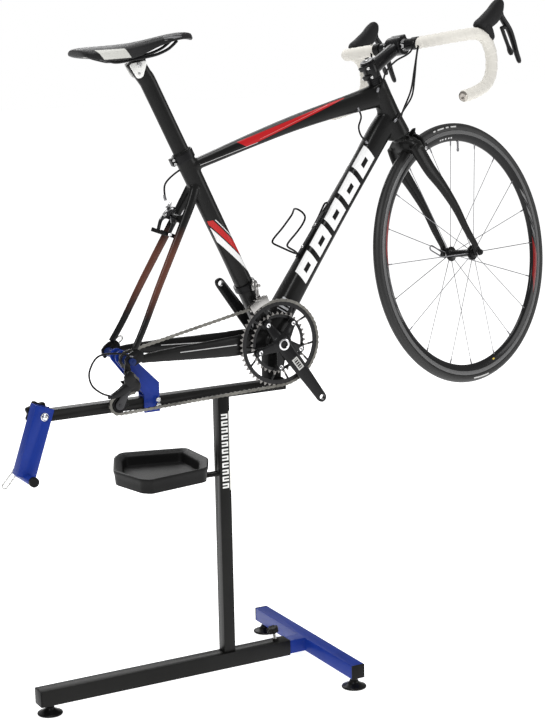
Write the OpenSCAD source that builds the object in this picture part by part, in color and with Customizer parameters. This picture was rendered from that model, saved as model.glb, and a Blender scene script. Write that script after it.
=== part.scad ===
// Road bicycle held in a workshop stand.
// +X is the way the bicycle faces, +Y is its left side, +Z is up, all in millimetres.
// The origin is on the floor, at the middle of the single foot under the tail of the base beam.

/* [Stand] */
// Side of the square base beam
beam_w = 40; // [38:1:44]
// Length of the base beam
beam_len = 676; // [640:2:700]
// Height of the beam's underside over the floor
beam_z = 26; // [24:1:34]
// Wall of every steel tube
tube_wall = 2; // [1.5:0.25:2]
// Side of the crossbar's square tube
cross_w = 35; // [32:0.5:35]
// Length of the crossbar
cross_len = 500; // [400:10:600]
// Distance from the origin to the middle of the post
post_x = 480; // [470:1:490]
// Side of the square post
post_w = 30; // [26:1:32]
// Side of the square arm
arm_w = 26; // [24:1:28]
// Height of the arm's underside
arm_z = 720; // [700:5:740]
// Diameter of a rubber foot
foot_d = 62; // [50:2:70]

/* [Fork bracket] */
// Swing of the hanging bracket away from straight down
hang_tilt = 19; // [0:1:30]
// Distance from the bracket's pivot to its hub tube
hang_len = 148; // [130:2:160]
// Width over the hub tube, equal to a front hub's
hub_tube_len = 100; // [98:1:102]

/* [Bicycle] */
// Nose-up lean of the whole bicycle
pitch = 9.2; // [8:0.1:10]
// Height of the bottom bracket over the floor
bb_height = 845; // [842:1:848]
// Chainstay length
stay_len = 405; // [404:1:407]
// Height of the hubs over the bottom bracket
bb_drop = 70; // [68:1:72]
// Distance between the hub centres
wheelbase = 992; // [985:1:1000]
// Head tube angle
head_angle = 73; // [72.5:0.1:73.5]
// Seat tube angle
seat_angle = 73.5; // [73.2:0.1:73.8]
// Distance of the front hub ahead of the steering axis
fork_rake = 43; // [42:1:46]
// Turn of the handlebar to the left at rest
steer_turn = 18.4; // [10:0.1:22]
// Outside radius of the tyre
tyre_r = 334; // [332:1:335]
// Radius of the tyre's own section
tyre_section = 11.5; // [11:0.5:12]

/* [Drive] */
// Crank length between axle and pedal thread
crank_len = 172.5; // [170:2.5:175]
// Angle of the right crank below the bicycle's own horizontal
crank_angle = 64; // [0:1:359]
// Teeth on the big chainring
big_teeth = 52; // [52:1:53]
// Teeth on the small chainring
small_teeth = 36; // [34:1:39]
// Chain pitch
chain_pitch = 12.7; // [12.7:0.1:12.7]

/* [Hidden] */
$fn = 48;
// Clearance of a running fit, on the radius
fit = 0.05;
// Clearance between faces that only pass each other
gap = 0.3;
// Wall of the frame's hollow tubes
shell = 3;

// Stand levels
beam_cz = beam_z + beam_w / 2;
beam_tail = -26;
beam_nose = beam_tail + beam_len;
cross_x = post_x + 231;
arm_cz = arm_z + arm_w / 2;
arm_tail = 0;
arm_nose = post_x + 170;
pivot = [16, 0, arm_cz];
clamp_x = beam_nose - 32;
clamp_tilt = -14;
post_wall = 2.5;
foot_x = post_x - 191;
foot_bolt_x = foot_x + 13;
foot_bolts = [arm_cz - 6, arm_cz + 7];
tray_rim_z = 570;
tray_depth = 36;
tray_outline = [[283, 172], [444, 128], [444, 5], [402, -76], [240, -104], [222, -86], [198, 20], [250, 136]];
tray_rod_z = tray_rim_z - tray_depth - 5;

// Bicycle points, in the bicycle's own level frame: x ahead of the bottom bracket, z above it
bb = [post_x + 141, 0, bb_height];
rear_x = -sqrt(stay_len * stay_len - bb_drop * bb_drop);
rear_hub = [rear_x, 0, bb_drop];
front_hub_at = [rear_x + wheelbase, 0, bb_drop];
steer_foot = front_hub_at - fork_rake * [sin(head_angle), 0, cos(head_angle)];
steer_dir = [-cos(head_angle), 0, sin(head_angle)];
head_low = 370;
head_high = 517;
steerer_top = 574;
stem_at = 553;
stem_rise = 18;
stem_len = 120;
bar_at = steer_foot + stem_at * steer_dir + stem_len * [cos(stem_rise), 0, sin(stem_rise)];
bar_half = 208;
rear_track = 65;
front_track = 50;
chain_y = -45;
ring_w = 2.4;
ring_r = chain_pitch / (2 * sin(180 / big_teeth));
small_r = chain_pitch / (2 * sin(180 / small_teeth));
pulley_teeth = 11;
pulley_r = chain_pitch / (2 * sin(180 / pulley_teeth));
roller_r = 18;
upper_at = [rear_x - 5, 0, 10];
lower_at = [rear_x - 41, 0, -30];
collar_at = 504;
collar_h = 20;
collar_screws = [509, 519];
post_low = 395;
post_high = 742;
saddle_pivot = [-222, 0, 728];

function unit(v) = v / norm(v);
function on_seat(d) = d * [-cos(seat_angle), 0, sin(seat_angle)];
function on_steer(d) = steer_foot + d * steer_dir;
function mirrored(pts) = [for (p = pts) [p[0], -p[1], p[2]]];

// A smooth curve through hand-placed points
function spline_at(a, b, c, d, t) =
    0.5 * ((2 * b) + (c - a) * t + (2 * a - 5 * b + 4 * c - d) * t * t + (3 * b - a - 3 * c + d) * t * t * t);
function spline(p, n) = let (last = len(p) - 1) [
    for (i = [0 : last - 1]) for (k = [0 : n - 1])
        spline_at(p[max(i - 1, 0)], p[i], p[i + 1], p[min(i + 2, last)], k / n),
    p[last]
];

// Directions along a path, and one side direction carried along it without twist
function heading(p, i) = unit(p[min(i + 1, len(p) - 1)] - p[max(i - 1, 0)]);
function flat_to(v, t) = unit(v - (v * t) * t);
function sides_of(p, first) = [
    for (i = 0, s = flat_to(first, heading(p, 0)); i < len(p);
         i = i + 1, s = flat_to(s, heading(p, min(i, len(p) - 1)))) s
];

// A round cord or bar swept along a path
module tube(p, r, n = 8, first = [0.1, 0.2, 1]) {
    s = sides_of(p, first);
    rings = [for (i = [0 : len(p) - 1]) let (t = heading(p, i), u = cross(t, s[i]))
        for (k = [0 : n - 1]) p[i] + r * (s[i] * cos(360 * k / n) + u * sin(360 * k / n))];
    last = (len(p) - 1) * n;
    walls = [for (i = [0 : len(p) - 2]) for (k = [0 : n - 1])
        [i * n + k, (i + 1) * n + k, (i + 1) * n + (k + 1) % n, i * n + (k + 1) % n]];
    polyhedron(concat(rings), concat([[for (k = [0 : n - 1]) k]], walls,
        [[for (k = [n - 1 : -1 : 0]) last + k]]), convexity = 8);
}

// Puts its children in the bicycle's own frame
module on_bicycle() {
    translate(bb) rotate([0, -pitch, 0]) children();
}

// Puts its children on the turned fork, whose unturned place is in the bicycle's frame
module on_fork() {
    on_bicycle() translate(steer_foot) rotate([0, head_angle - 90, 0]) rotate([0, 0, steer_turn])
        rotate([0, 90 - head_angle, 0]) translate(-steer_foot) children();
}

// A cylinder that lies along Y
module pin(at, r, half, shift = 0) {
    translate(at + [0, shift, 0]) rotate([90, 0, 0]) cylinder(r = r, h = 2 * half, center = true);
}

// A rod between two points
module rod(p, q, r) {
    d = q - p;
    translate(p) rotate([0, acos(d[2] / norm(d)), atan2(d[1], d[0])]) cylinder(r = r, h = norm(d));
}

// A thin oval slice, long in the plane of the bicycle, that faces along a direction in that plane
module slice(at, deep, wide, lean) {
    translate(at) rotate([0, lean, 0]) scale([deep / 2, wide / 2, 1]) cylinder(r = 1, h = 2, center = true, $fn = 28);
}

// A square tube along X
module square_tube(w, len, wall) {
    difference() {
        translate([0, -w / 2, -w / 2]) cube([len, w, w]);
        translate([-1, wall - w / 2, wall - w / 2]) cube([len + 2, w - 2 * wall, w - 2 * wall]);
    }
}

// A quick-release lever's loop, whose barrel is at the origin and whose loop reaches along X
module wire_lever(reach) {
    loop_r = 6;
    wire = 2;
    cylinder(r = 5.5, h = 15, center = true);
    for (side = [-1, 1]) translate([0, 0, side * loop_r]) rotate([0, 90, 0]) cylinder(r = wire, h = reach - loop_r);
    translate([reach - loop_r, 0, 0]) rotate([90, 0, 0]) rotate([0, 0, -90])
        rotate_extrude(angle = 180) translate([loop_r, 0]) circle(r = wire, $fn = 16);
}

// A lobed hand knob along Z, from 0 up
module lobed_knob(r, h) {
    lobes = 7;
    linear_extrude(height = h) {
        circle(r = r * 0.8);
        for (i = [0 : lobes - 1]) rotate(360 * i / lobes) translate([r * 0.75, 0]) circle(r = r * 0.25, $fn = 24);
    }
}

// A soft bell foot whose sole is at the origin
module bell_foot(top) {
    rotate_extrude() polygon([[0, 0], [foot_d / 2, 0], [foot_d / 2, 3], [foot_d / 2 - 8, 9],
        [11, 16], [9, 20], [9, top], [0, top]]);
}

// ---- stand ----

module base_beam() {
    color("dimgray") difference() {
        union() {
            translate([beam_tail, 0, beam_cz]) square_tube(beam_w, beam_len, tube_wall);
            translate([clamp_x, 0, beam_z + beam_w - 0.5]) cylinder(r = 9, h = 6.5, $fn = 6);
        }
        translate([clamp_x, 0, beam_z + beam_w]) rotate([0, clamp_tilt, 0])
            cylinder(r = 4 + fit, h = 24, center = true);
    }
}

module mast() {
    color("dimgray") {
        translate([post_x, 0, beam_z + beam_w]) rotate([0, -90, 0])
            square_tube(post_w, arm_z - beam_z - beam_w, post_wall);
        difference() {
            translate([arm_tail, 0, arm_cz]) square_tube(arm_w, arm_nose - arm_tail, tube_wall);
            pin(pivot, 4 + fit, arm_w);
            for (z = foot_bolts) pin([foot_bolt_x, 0, z], 3, arm_w);
        }
        // rods that carry the tray
        for (y = [-7, 7]) translate([(post_x + 300) / 2 - 7, y, tray_rod_z]) rotate([0, 90, 0])
            cylinder(r = 5, h = post_x - 300, center = true);
    }
}

module tube_caps() {
    color("black") {
        translate([beam_tail - 3, -beam_w / 2, beam_z]) cube([3, beam_w, beam_w]);
        translate([beam_tail, tube_wall - beam_w / 2, beam_z + tube_wall])
            cube([14, beam_w - 2 * tube_wall, beam_w - 2 * tube_wall]);
        translate([arm_nose, -arm_w / 2, arm_z]) cube([5, arm_w, arm_w]);
        translate([arm_nose - 14, tube_wall - arm_w / 2, arm_z + tube_wall])
            cube([14, arm_w - 2 * tube_wall, arm_w - 2 * tube_wall]);
    }
}

module beam_foot() {
    color("black") bell_foot(beam_z);
}

module tray() {
    color("black") translate([0, 0, tray_rim_z - tray_depth]) difference() {
        union() {
            linear_extrude(height = tray_depth - 8) tray_shape(-4);
            translate([0, 0, tray_depth - 8]) linear_extrude(height = 8) tray_shape(0);
        }
        translate([0, 0, 6]) linear_extrude(height = tray_depth) tray_shape(-22);
    }
}

module tray_shape(grow) {
    c = [(tray_outline[0][0] + tray_outline[4][0] + tray_outline[2][0]) / 3 + 5, 25];
    polygon([for (p = tray_outline) c + (p - c) * (norm(p - c) + grow) / norm(p - c)]);
}

module bb_cradle() {
    top = 822;
    color("black") {
        difference() {
            translate([bb[0] - 18, -18, arm_z + arm_w]) cube([36, 36, top - arm_z - arm_w + 4]);
            pin(bb, 23 + gap, 30);
        }
        translate([bb[0] - 24, -20, arm_z + arm_w]) cube([48, 40, 6]);
    }
}

module rear_bracket() {
    axle = axle_at();
    color("royalblue") {
        difference() {
            union() {
                translate([foot_x - 20, -arm_w / 2 - 4, arm_z - 10]) cube([40, arm_w + 8, arm_w + 44]);
                for (side = [-1, 1]) hull() {
                    translate([foot_x - 20, side * (arm_w / 2 + 2) - 2, arm_z + arm_w + 8]) cube([40, 4, 26]);
                    pin([axle[0], 0, axle[2]], 17, 2, side * (arm_w / 2 + 2));
                }
            }
            translate([foot_x - 21, -arm_w / 2, arm_z - 14]) cube([42, arm_w, arm_w + 14]);
            translate([foot_x - 21, -arm_w / 2, arm_z + arm_w + 4]) cube([42, arm_w, 60]);
            pin(axle, 11, 40);
            for (z = foot_bolts) pin([foot_bolt_x, 0, z], 3, 40);
        }
    }
}

function axle_at() = bb + [rear_x * cos(pitch) - bb_drop * sin(pitch), 0, rear_x * sin(pitch) + bb_drop * cos(pitch)];

module stand_axle() {
    axle = axle_at();
    color("midnightblue") {
        difference() {
            union() {
                pin(axle, 11, rear_track);
                pin(axle, 4.9, rear_track + 7);
                pin(axle, roller_r - 4.5, 6, chain_y);
            }
            pin(axle, 2.6, 100);
        }
    }
    color("silver") {
        pin(axle, 2.6, rear_track + 12.5, -5.5);
        pin(axle, 8, 5, -rear_track - 11);
    }
}

module crossbar() {
    color("royalblue") {
        translate([cross_x, 0, beam_cz]) rotate([0, 0, 90]) translate([-cross_len / 2, 0, 0])
            square_tube(cross_w, cross_len, tube_wall);
        translate([560, 0, beam_cz]) square_tube(cross_w, cross_x - cross_w / 2 - 560, tube_wall);
    }
}

module crossbar_ends() {
    color("black") for (side = [-1, 1]) {
        inset = cross_w - 2 * tube_wall;
        translate([cross_x, side * (cross_len / 2 + 2), beam_cz]) cube([cross_w, 4, cross_w], center = true);
        translate([cross_x, side * (cross_len / 2 - 6), beam_cz]) cube([inset, 12, inset], center = true);
        translate([cross_x, side * (cross_len / 2 - 18), 0]) bell_foot(beam_cz - cross_w / 2);
    }
}

module beam_clamp() {
    shank = 40;
    translate([clamp_x, 0, beam_z + beam_w]) rotate([0, clamp_tilt, 0]) {
        color("silver") translate([0, 0, -1]) cylinder(r = 4, h = shank);
        color("black") translate([0, 0, shank - 16]) lobed_knob(15, 14);
    }
}

// Puts its children in the hanging bracket's frame: pivot at the origin, hub tube straight below
module on_bracket() {
    translate(pivot) rotate([0, hang_tilt, 0]) children();
}

module fork_bracket() {
    half_in = arm_w / 2 + 0.5;
    plate = 3;
    color("royalblue") on_bracket() difference() {
        union() {
            for (side = [-1, 1]) hull() {
                translate([-27, side * (half_in + plate / 2) - plate / 2, -hang_len]) cube([46, plate, 10]);
                translate([-27, side * (half_in + plate / 2) - plate / 2, 8]) cube([46, plate, 14]);
            }
            translate([-27, -half_in - plate, -hang_len]) cube([plate, 2 * (half_in + plate), hang_len + 22]);
            pin([0, 0, -hang_len], 11, hub_tube_len / 2);
        }
        pin([0, 0, 0], 4 + fit, 40);
        pin([0, 0, -hang_len], 4.6, 80);
    }
}

module bracket_skewer() {
    on_bracket() {
        color("silver") pin([0, 0, -hang_len], 4.5, hub_tube_len / 2 + 3);
        color("black") {
            pin([0, 0, -hang_len], 12, 5, -hub_tube_len / 2 - 5);
            pin([0, 0, -hang_len], 8, 2, hub_tube_len / 2 + 2);
        }
    }
}

module bracket_knob() {
    reach = arm_w / 2 + 3.5;
    color("silver") {
        pin(pivot, 4, reach + 6);
        translate(pivot + [0, -reach - gap, 0]) rotate([90, 0, 0]) {
            cylinder(r = 8, h = 6);
            translate([0, 0, 6]) sphere(r = 5.5);
        }
    }
    color("black") translate(pivot + [0, reach + gap, 0]) rotate([-90, 0, 0]) {
        cylinder(r = 12, h = 8);
        translate([0, 0, 8]) lobed_knob(30, 16);
    }
}

module bracket_lever() {
    color("silver") on_bracket() translate([0, hub_tube_len / 2 + 10.5, -hang_len])
        rotate([0, 113, 0]) wire_lever(50);
}

module axle_lever() {
    color("silver") translate(axle_at() + [0, rear_track + 13, 0]) rotate([0, -35, 0]) wire_lever(52);
}

// ---- frame ----

module head_tube() {
    color("black") on_bicycle() difference() {
        hull() {
            translate(on_steer(head_low)) rotate([0, head_angle - 90, 0]) cylinder(r = 28, h = 6, $fn = 32);
            translate(on_steer(head_high - 8)) rotate([0, head_angle - 90, 0]) cylinder(r = 23, h = 8, $fn = 32);
        }
        rod(on_steer(head_low - 2), on_steer(head_high + 2), 20);
    }
}

// Two straight runs through three slices [place, depth, width, lean], drawn this much slimmer
module frame_run(s, slim = 0) {
    for (i = [0, 1]) hull() for (e = [s[i], s[i + 1]]) slice(e[0], e[1] - 2 * slim, e[2] - 2 * slim, e[3]);
}

// A hollow frame tube, closed at both ends
module frame_tube(s) {
    end = [unit(s[1][0] - s[0][0]), unit(s[2][0] - s[1][0])];
    color("black") on_bicycle() difference() {
        frame_run(s);
        frame_run([[s[0][0] + 6 * end[0], s[0][1], s[0][2], s[0][3]], s[1],
            [s[2][0] - 6 * end[1], s[2][1], s[2][2], s[2][3]]], shell);
        rod(on_steer(head_low - 40), on_steer(head_high + 2), 20 + gap);
        on_seat_tube(post_low - 60) linear_extrude(height = 250) post_section(40, 24, gap);
    }
}

module top_tube() {
    frame_tube([[[-128, 0, 466], 25, 34, 80], [[90, 0, 497], 35, 38, 83], [[384, 0, 521], 54, 40, 83]]);
}

module down_tube() {
    frame_tube([[[12, 0, 34], 58, 60, 45], [[160, 0, 190], 56, 50, 45], [[405, 0, 446], 54, 44, 45]]);
}

// The aero post's section, as long as chord, grown all round
module post_section(chord, wide, grow) {
    r = wide / 2 + grow;
    straight = chord - wide;
    square([straight, 2 * r], center = true);
    for (side = [-1, 1]) translate([side * straight / 2, 0]) circle(r = r);
}

module on_seat_tube(d) {
    translate(on_seat(d)) rotate([0, seat_angle - 90, 0]) children();
}

module seat_tube() {
    color("black") on_bicycle() difference() {
        hull() {
            slice(on_seat(22), 46, 60, seat_angle - 90);
            slice(on_seat(230), 43, 34, seat_angle - 90);
            slice(on_seat(524), 47, 34, seat_angle - 90);
        }
        on_seat_tube(post_low - 60) linear_extrude(height = 250) post_section(40, 24, gap);
    }
}

module bb_shell() {
    color("black") on_bicycle() difference() {
        pin([0, 0, 0], 23, 38);
        pin([0, 0, 0], 20, 50);
    }
}

// An upright oval slice of a stay
module stay_slice(at, half_deep, half_wide) {
    translate(at) rotate([0, 90, 0]) scale([half_deep, half_wide, 1]) cylinder(r = 1, h = 2, $fn = 24);
}

// Slot for the hub axle, open downwards
module dropout(side) {
    translate(rear_hub + [0, side * (rear_track + 3), 0]) difference() {
        union() {
            rotate([90, 0, 0]) cylinder(r = 15, h = 6, center = true);
            translate([2, -3, -11]) cube([36, 6, 24]);
        }
        rotate([90, 0, 0]) cylinder(r = 5, h = 8, center = true);
        translate([-5, -4, -20]) cube([10, 8, 20]);
    }
}

module chainstays() {
    color("black") on_bicycle() {
        for (side = [-1, 1]) {
            hull() {
                stay_slice([-18, side * 20, 10], 24, 8);
                stay_slice([-112, side * 32, 26], 23, 8);
            }
            hull() {
                stay_slice([-112, side * 32, 26], 23, 8);
                stay_slice(rear_hub + [30, side * (rear_track + 2), 0], 10, 4);
            }
            dropout(side);
        }
        // hanger for the rear mech
        difference() {
            hull() {
                pin(rear_hub + [-10, 0, -8], 9, 3, -rear_track - 3);
                pin(rear_hub + [-14, 0, -27], 8, 3, -rear_track - 3);
            }
            pin(rear_hub, 5, 90);
            translate(rear_hub + [-5, -rear_track - 8, -20]) cube([10, 12, 20]);
            pin(rear_hub + [-14, 0, -27], 4, 90);
        }
    }
}

module seatstays() {
    color("black") on_bicycle() {
        for (side = [-1, 1]) hull() {
            stay_slice([-142, side * 17, 402], 13, 7);
            stay_slice(rear_hub + [12, side * (rear_track + 1), 16], 8, 5);
        }
        // bridge that holds the brake
        difference() {
            translate(rear_brake_at) rotate([0, brake_lean, 0]) cube([18, 48, 16], center = true);
            translate(rear_brake_at) rotate([0, brake_lean, 0]) rotate([0, 90, 0]) cylinder(r = 3, h = 60, center = true);
        }
    }
}

module pin_along_x(at, r, len) {
    translate(at) rotate([0, 90, 0]) cylinder(r = r, h = len, center = true);
}

module ring(r_out, r_in, h) {
    difference() {
        cylinder(r = r_out, h = h, center = true);
        cylinder(r = r_in, h = h + 2, center = true);
    }
}

module bearings() {
    color("silver") on_bicycle() {
        for (d = [head_low + 8, head_high - 8]) translate(on_steer(d)) rotate([0, head_angle - 90, 0])
            ring(20, 14.3 + fit, 8);
        for (y = [-33, 33]) translate([0, y, 0]) rotate([90, 0, 0]) ring(20, 12 + fit, 8);
    }
}

module bolts() {
    color("silver") {
        // through bolts of the bracket's foot
        for (z = foot_bolts) {
            pin([foot_bolt_x, 0, z], 3, arm_w / 2 + 8);
            for (side = [-1, 1]) pin([foot_bolt_x, 0, z], 5.5, 2, side * (arm_w / 2 + 6));
        }
        on_bicycle() {
            // seat clamp screws
            for (d = collar_screws) on_seat_tube(d) translate([-30, 0, 0]) rotate([90, 0, 0])
                cylinder(r = 2.5, h = 22, center = true);
            // rear brake bolt
            translate(rear_brake_at) rotate([0, brake_lean, 0]) rotate([0, -90, 0])
                translate([0, 0, -14]) cylinder(r = 3, h = 48);
            // hanger bolt of the rear mech
            pin(rear_hub + [-14, 0, -27], 4, 11, -rear_track - 11);
        }
    }
}

module seat_clamp() {
    color("black") on_bicycle() difference() {
        union() {
            on_seat_tube(collar_at) linear_extrude(height = collar_h) post_section(53, 40, 0);
            on_seat_tube(collar_at) translate([-34, -8, 0]) cube([12, 16, collar_h]);
        }
        on_seat_tube(collar_at - 20) linear_extrude(height = collar_h + 40) post_section(47, 34, 0);
        for (d = collar_screws) on_seat_tube(d) translate([-30, 0, 0]) rotate([90, 0, 0])
            cylinder(r = 2.5, h = 30, center = true);
    }
}

// The bottle's axis runs along the down tube, this far off its face
module on_cage(d) {
    translate([126, 0, 205]) rotate([0, 45, 0]) translate([0, 0, d]) children();
}

module bottle_cage() {
    wire = 2.5;
    bottle_r = 37;
    color("black") on_bicycle() {
        on_cage(-20) translate([-4, -7, 0]) cube([3, 14, 110]);
        for (d = [-10, 62]) on_cage(d) translate([-bottle_r - 4, 0, 0]) rotate([0, -12, 0]) difference() {
            rotate([0, 0, 35]) rotate_extrude(angle = 290) translate([bottle_r + wire, 0]) circle(r = wire, $fn = 16);
            translate([bottle_r - 2, -8, -20]) cube([20, 16, 40]);
        }
        for (side = [-1, 1]) on_cage(-10) translate([-bottle_r - 4, 0, 0])
            rod([-31, side * 24, -6], [-31, side * 24, 78], wire);
        for (side = [-1, 1]) on_cage(-26) translate([-bottle_r - 4, 0, 0])
            rod([36, side * 5, 16], [10, side * 38, 14], wire);
    }
}

// ---- saddle ----

module seatpost() {
    on_bicycle() {
        color("black") on_seat_tube(post_low) linear_extrude(height = post_high - post_low) post_section(40, 24, 0);
        color("black") difference() {
            pin(saddle_pivot + [0, 0, -10], 13, 14);
            pin(saddle_pivot, 4 + fit, 30);
        }
        color("white") for (side = [-1, 1]) difference() {
            hull() {
                pin(saddle_pivot + [16, 0, -5], 5, 2, side * 15);
                pin(saddle_pivot + [-18, 0, -5], 5, 2, side * 15);
                pin(saddle_pivot + [-4, 0, -28], 6, 2, side * 15);
            }
            pin(saddle_pivot, 4 + fit, 30);
        }
    }
}

module saddle_rails() {
    rail = [[-118, 16, 757], [-150, 20, 742], [-180, 22, 737], [-222, 22, 737], [-262, 22, 738],
        [-292, 23, 744], [-318, 26, 756], [-332, 28, 766]];
    color("black") on_bicycle() {
        tube(spline(rail, 3), 3.5, 10);
        tube(spline(mirrored(rail), 3), 3.5, 10);
        difference() {
            union() {
                translate(saddle_pivot + [-17, -29, 5.5]) cube([34, 58, 9]);
                for (side = [-1, 1]) translate(saddle_pivot + [-8, side * 23 - 5, -8]) cube([16, 10, 16]);
            }
            pin(saddle_pivot, 4, 60);
        }
    }
    color("silver") on_bicycle() {
        pin(saddle_pivot, 4, 31);
    }
}

// One cross-section of the saddle: place, half width, height of its top and depth of its side
saddle_ribs = [[-74, 12, 768, 10], [-100, 19, 776, 22], [-160, 22, 774, 26], [-220, 34, 773, 32],
    [-280, 58, 777, 34], [-335, 68, 784, 26], [-364, 50, 784, 12]];

module saddle() {
    arc = 16;
    ring_pts = [for (s = saddle_ribs) for (k = [0 : arc]) let (a = 180 * k / arc, drop = s[3])
        [s[0], s[1] * cos(a), s[2] - drop * (1 - pow(sin(a), 0.55))]];
    n = arc + 1;
    last = (len(saddle_ribs) - 1) * n;
    walls = [for (i = [0 : len(saddle_ribs) - 2]) for (k = [0 : n - 1])
        [i * n + k, i * n + (k + 1) % n, (i + 1) * n + (k + 1) % n, (i + 1) * n + k]];
    color("black") on_bicycle() polyhedron(ring_pts, concat(
        [[for (k = [n - 1 : -1 : 0]) k]], walls, [[for (k = [0 : n - 1]) last + k]]), convexity = 6);
}

// ---- fork and steering ----

module fork() {
    crown = on_steer(head_low - 24);
    color("black") on_fork() {
        difference() {
            rod(on_steer(head_low - 20), on_steer(steerer_top), 14.3);
            rod(on_steer(head_low + 10), on_steer(steerer_top + 1), 11.5);
        }
        hull() {
            translate(on_steer(head_low - 12)) rotate([0, head_angle - 90, 0]) cylinder(r = 27, h = 11, $fn = 32);
            translate(crown + [-8, -40, -1]) cube([34, 80, 12]);
        }
        translate(front_brake_at) rotate([0, front_lean, 0]) pin_along_x([-4, 0, 0], 3, 36);
        for (side = [-1, 1]) {
            hull() {
                translate(crown + [8, side * 42, -4]) scale([20, 10, 1]) cylinder(r = 1, h = 16, center = true, $fn = 24);
                translate([534, side * 50, 214]) scale([14, 8, 1]) cylinder(r = 1, h = 2, $fn = 24);
            }
            hull() {
                translate([534, side * 50, 214]) scale([14, 8, 1]) cylinder(r = 1, h = 2, $fn = 24);
                translate(front_hub_at + [-4, side * (front_track + 4), 14]) scale([8, 4, 1]) cylinder(r = 1, h = 2, $fn = 24);
            }
            translate(front_hub_at + [0, side * (front_track + 3), 0]) difference() {
                union() {
                    rotate([90, 0, 0]) cylinder(r = 11, h = 6, center = true);
                    translate([-10, -3, 0]) cube([17, 6, 22]);
                }
                rotate([90, 0, 0]) cylinder(r = 4.5, h = 8, center = true);
                translate([-4.5, -4, -14]) cube([9, 8, 14]);
            }
        }
    }
}

module stem() {
    clamp_mid = on_steer(stem_at);
    color("black") on_fork() {
        difference() {
            union() {
                rod(on_steer(533), on_steer(573), 19);
                rod(clamp_mid, bar_at, 16);
                pin(bar_at, 23, 23);
            }
            rod(on_steer(530), on_steer(580), 14.3);
            pin(bar_at, 15.9, 60);
        }
        // spacers and top cap
        difference() {
            rod(on_steer(head_high + gap), on_steer(532.7), 19);
            rod(on_steer(head_high - 1), on_steer(540), 14.3);
        }
        rod(on_steer(steerer_top), on_steer(steerer_top + 4), 18);
    }
}

// Middle line of the right half of the handlebar, from the stem to the bar end
bar_line = [bar_at, bar_at + [0, -60, 0], bar_at + [0, -125, 0], bar_at + [4, -165, 0], bar_at + [26, -194, -2],
    bar_at + [56, -205, -6], bar_at + [80, -bar_half, -18], bar_at + [94, -bar_half, -42],
    bar_at + [94, -bar_half - 1, -74], bar_at + [78, -bar_half - 3, -108], bar_at + [48, -bar_half - 6, -130],
    bar_at + [10, -bar_half - 8, -138], bar_at + [-24, -bar_half - 9, -140], bar_at + [-48, -bar_half - 9, -140]];

module handlebar() {
    fine = spline(bar_line, 3);
    color("black") on_fork() {
        pin(bar_at, 15.9, 35);
        for (right = [0, 1]) tube(right ? fine : mirrored(fine), 11.9, 12);
    }
}

module bar_tape() {
    fine = spline(bar_line, 3);
    taped = [for (i = [3 : len(fine) - 1]) fine[i]];
    plug = fine[len(fine) - 1];
    color("white") on_fork() for (right = [0, 1]) {
        difference() {
            tube(right ? taped : mirrored(taped), 15.5, 12);
            tube(right ? fine : mirrored(fine), 11.9, 12);
        }
        translate(right ? plug : [plug[0], -plug[1], plug[2]]) rotate([0, -90, 0]) cylinder(r = 14, h = 6);
    }
}

hood_at = bar_at + [90, -bar_half, 0];
lever_pivot = hood_at + [66, 0, 24];

module hoods() {
    color("dimgray") on_fork() for (side = [-1, 1]) difference() {
        translate([0, side > 0 ? 2 * bar_half : 0, 0]) union() {
            hull() {
                translate(hood_at + [-26, 0, 14]) rotate([0, 90, 0]) scale([15, 13, 1]) cylinder(r = 1, h = 4, $fn = 24);
                translate(hood_at + [48, 0, 26]) rotate([0, 90, 0]) scale([20, 14, 1]) cylinder(r = 1, h = 4, $fn = 24);
            }
            hull() {
                translate(hood_at + [48, 0, 26]) rotate([0, 90, 0]) scale([20, 14, 1]) cylinder(r = 1, h = 4, $fn = 24);
                translate(hood_at + [66, 0, 46]) rotate([0, 70, 0]) scale([15, 11, 1]) cylinder(r = 1, h = 10, $fn = 24);
            }
        }
        translate([0, side > 0 ? 2 * bar_half : 0, 0]) {
            translate(lever_pivot + [-7, -5.5, -50]) cube([40, 11, 62]);
            pin(lever_pivot, 2.5 + fit, 9);
        }
    }
}

module brake_lever() {
    color("black") {
        difference() {
            union() {
                pin(lever_pivot, 6, 5);
                hull() {
                    pin(lever_pivot + [3, 0, -4], 6, 5);
                    pin(lever_pivot + [30, 0, -44], 5, 5);
                }
                hull() {
                    pin(lever_pivot + [30, 0, -44], 5, 5);
                    pin(lever_pivot + [44, 0, -126], 4, 5);
                }
            }
            pin_along_x(paddle_pivot + [14, 0, 0], 2 + fit, 30);
        }
    }
    color("silver") pin(lever_pivot, 2.5, 8.5);
}

module brake_lever_right() {
    on_fork() brake_lever();
}

module brake_lever_left() {
    on_fork() translate([0, 2 * bar_half, 0]) brake_lever();
}

// The paddle hangs behind the lever blade and swings inwards about a pin that runs fore and aft
paddle_pivot = lever_pivot + [2, 0, -34];

module shift_paddle() {
    color("gray") {
        pin_along_x(paddle_pivot + [11, 0, 0], 2, 22);
        hull() {
            translate(paddle_pivot + [-2, 0, 0]) rotate([0, 90, 0]) cylinder(r = 5, h = 8, center = true);
            translate(paddle_pivot + [12, 0, -50]) rotate([0, 90, 0]) cylinder(r = 5, h = 5, center = true);
        }
        hull() {
            translate(paddle_pivot + [12, 0, -50]) rotate([0, 90, 0]) cylinder(r = 5, h = 5, center = true);
            translate(paddle_pivot + [16, 0, -62]) rotate([0, 90, 0]) cylinder(r = 9, h = 4, center = true);
        }
    }
}

module shift_paddle_right() {
    on_fork() shift_paddle();
}

module shift_paddle_left() {
    on_fork() translate([0, 2 * bar_half, 0]) shift_paddle();
}

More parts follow.
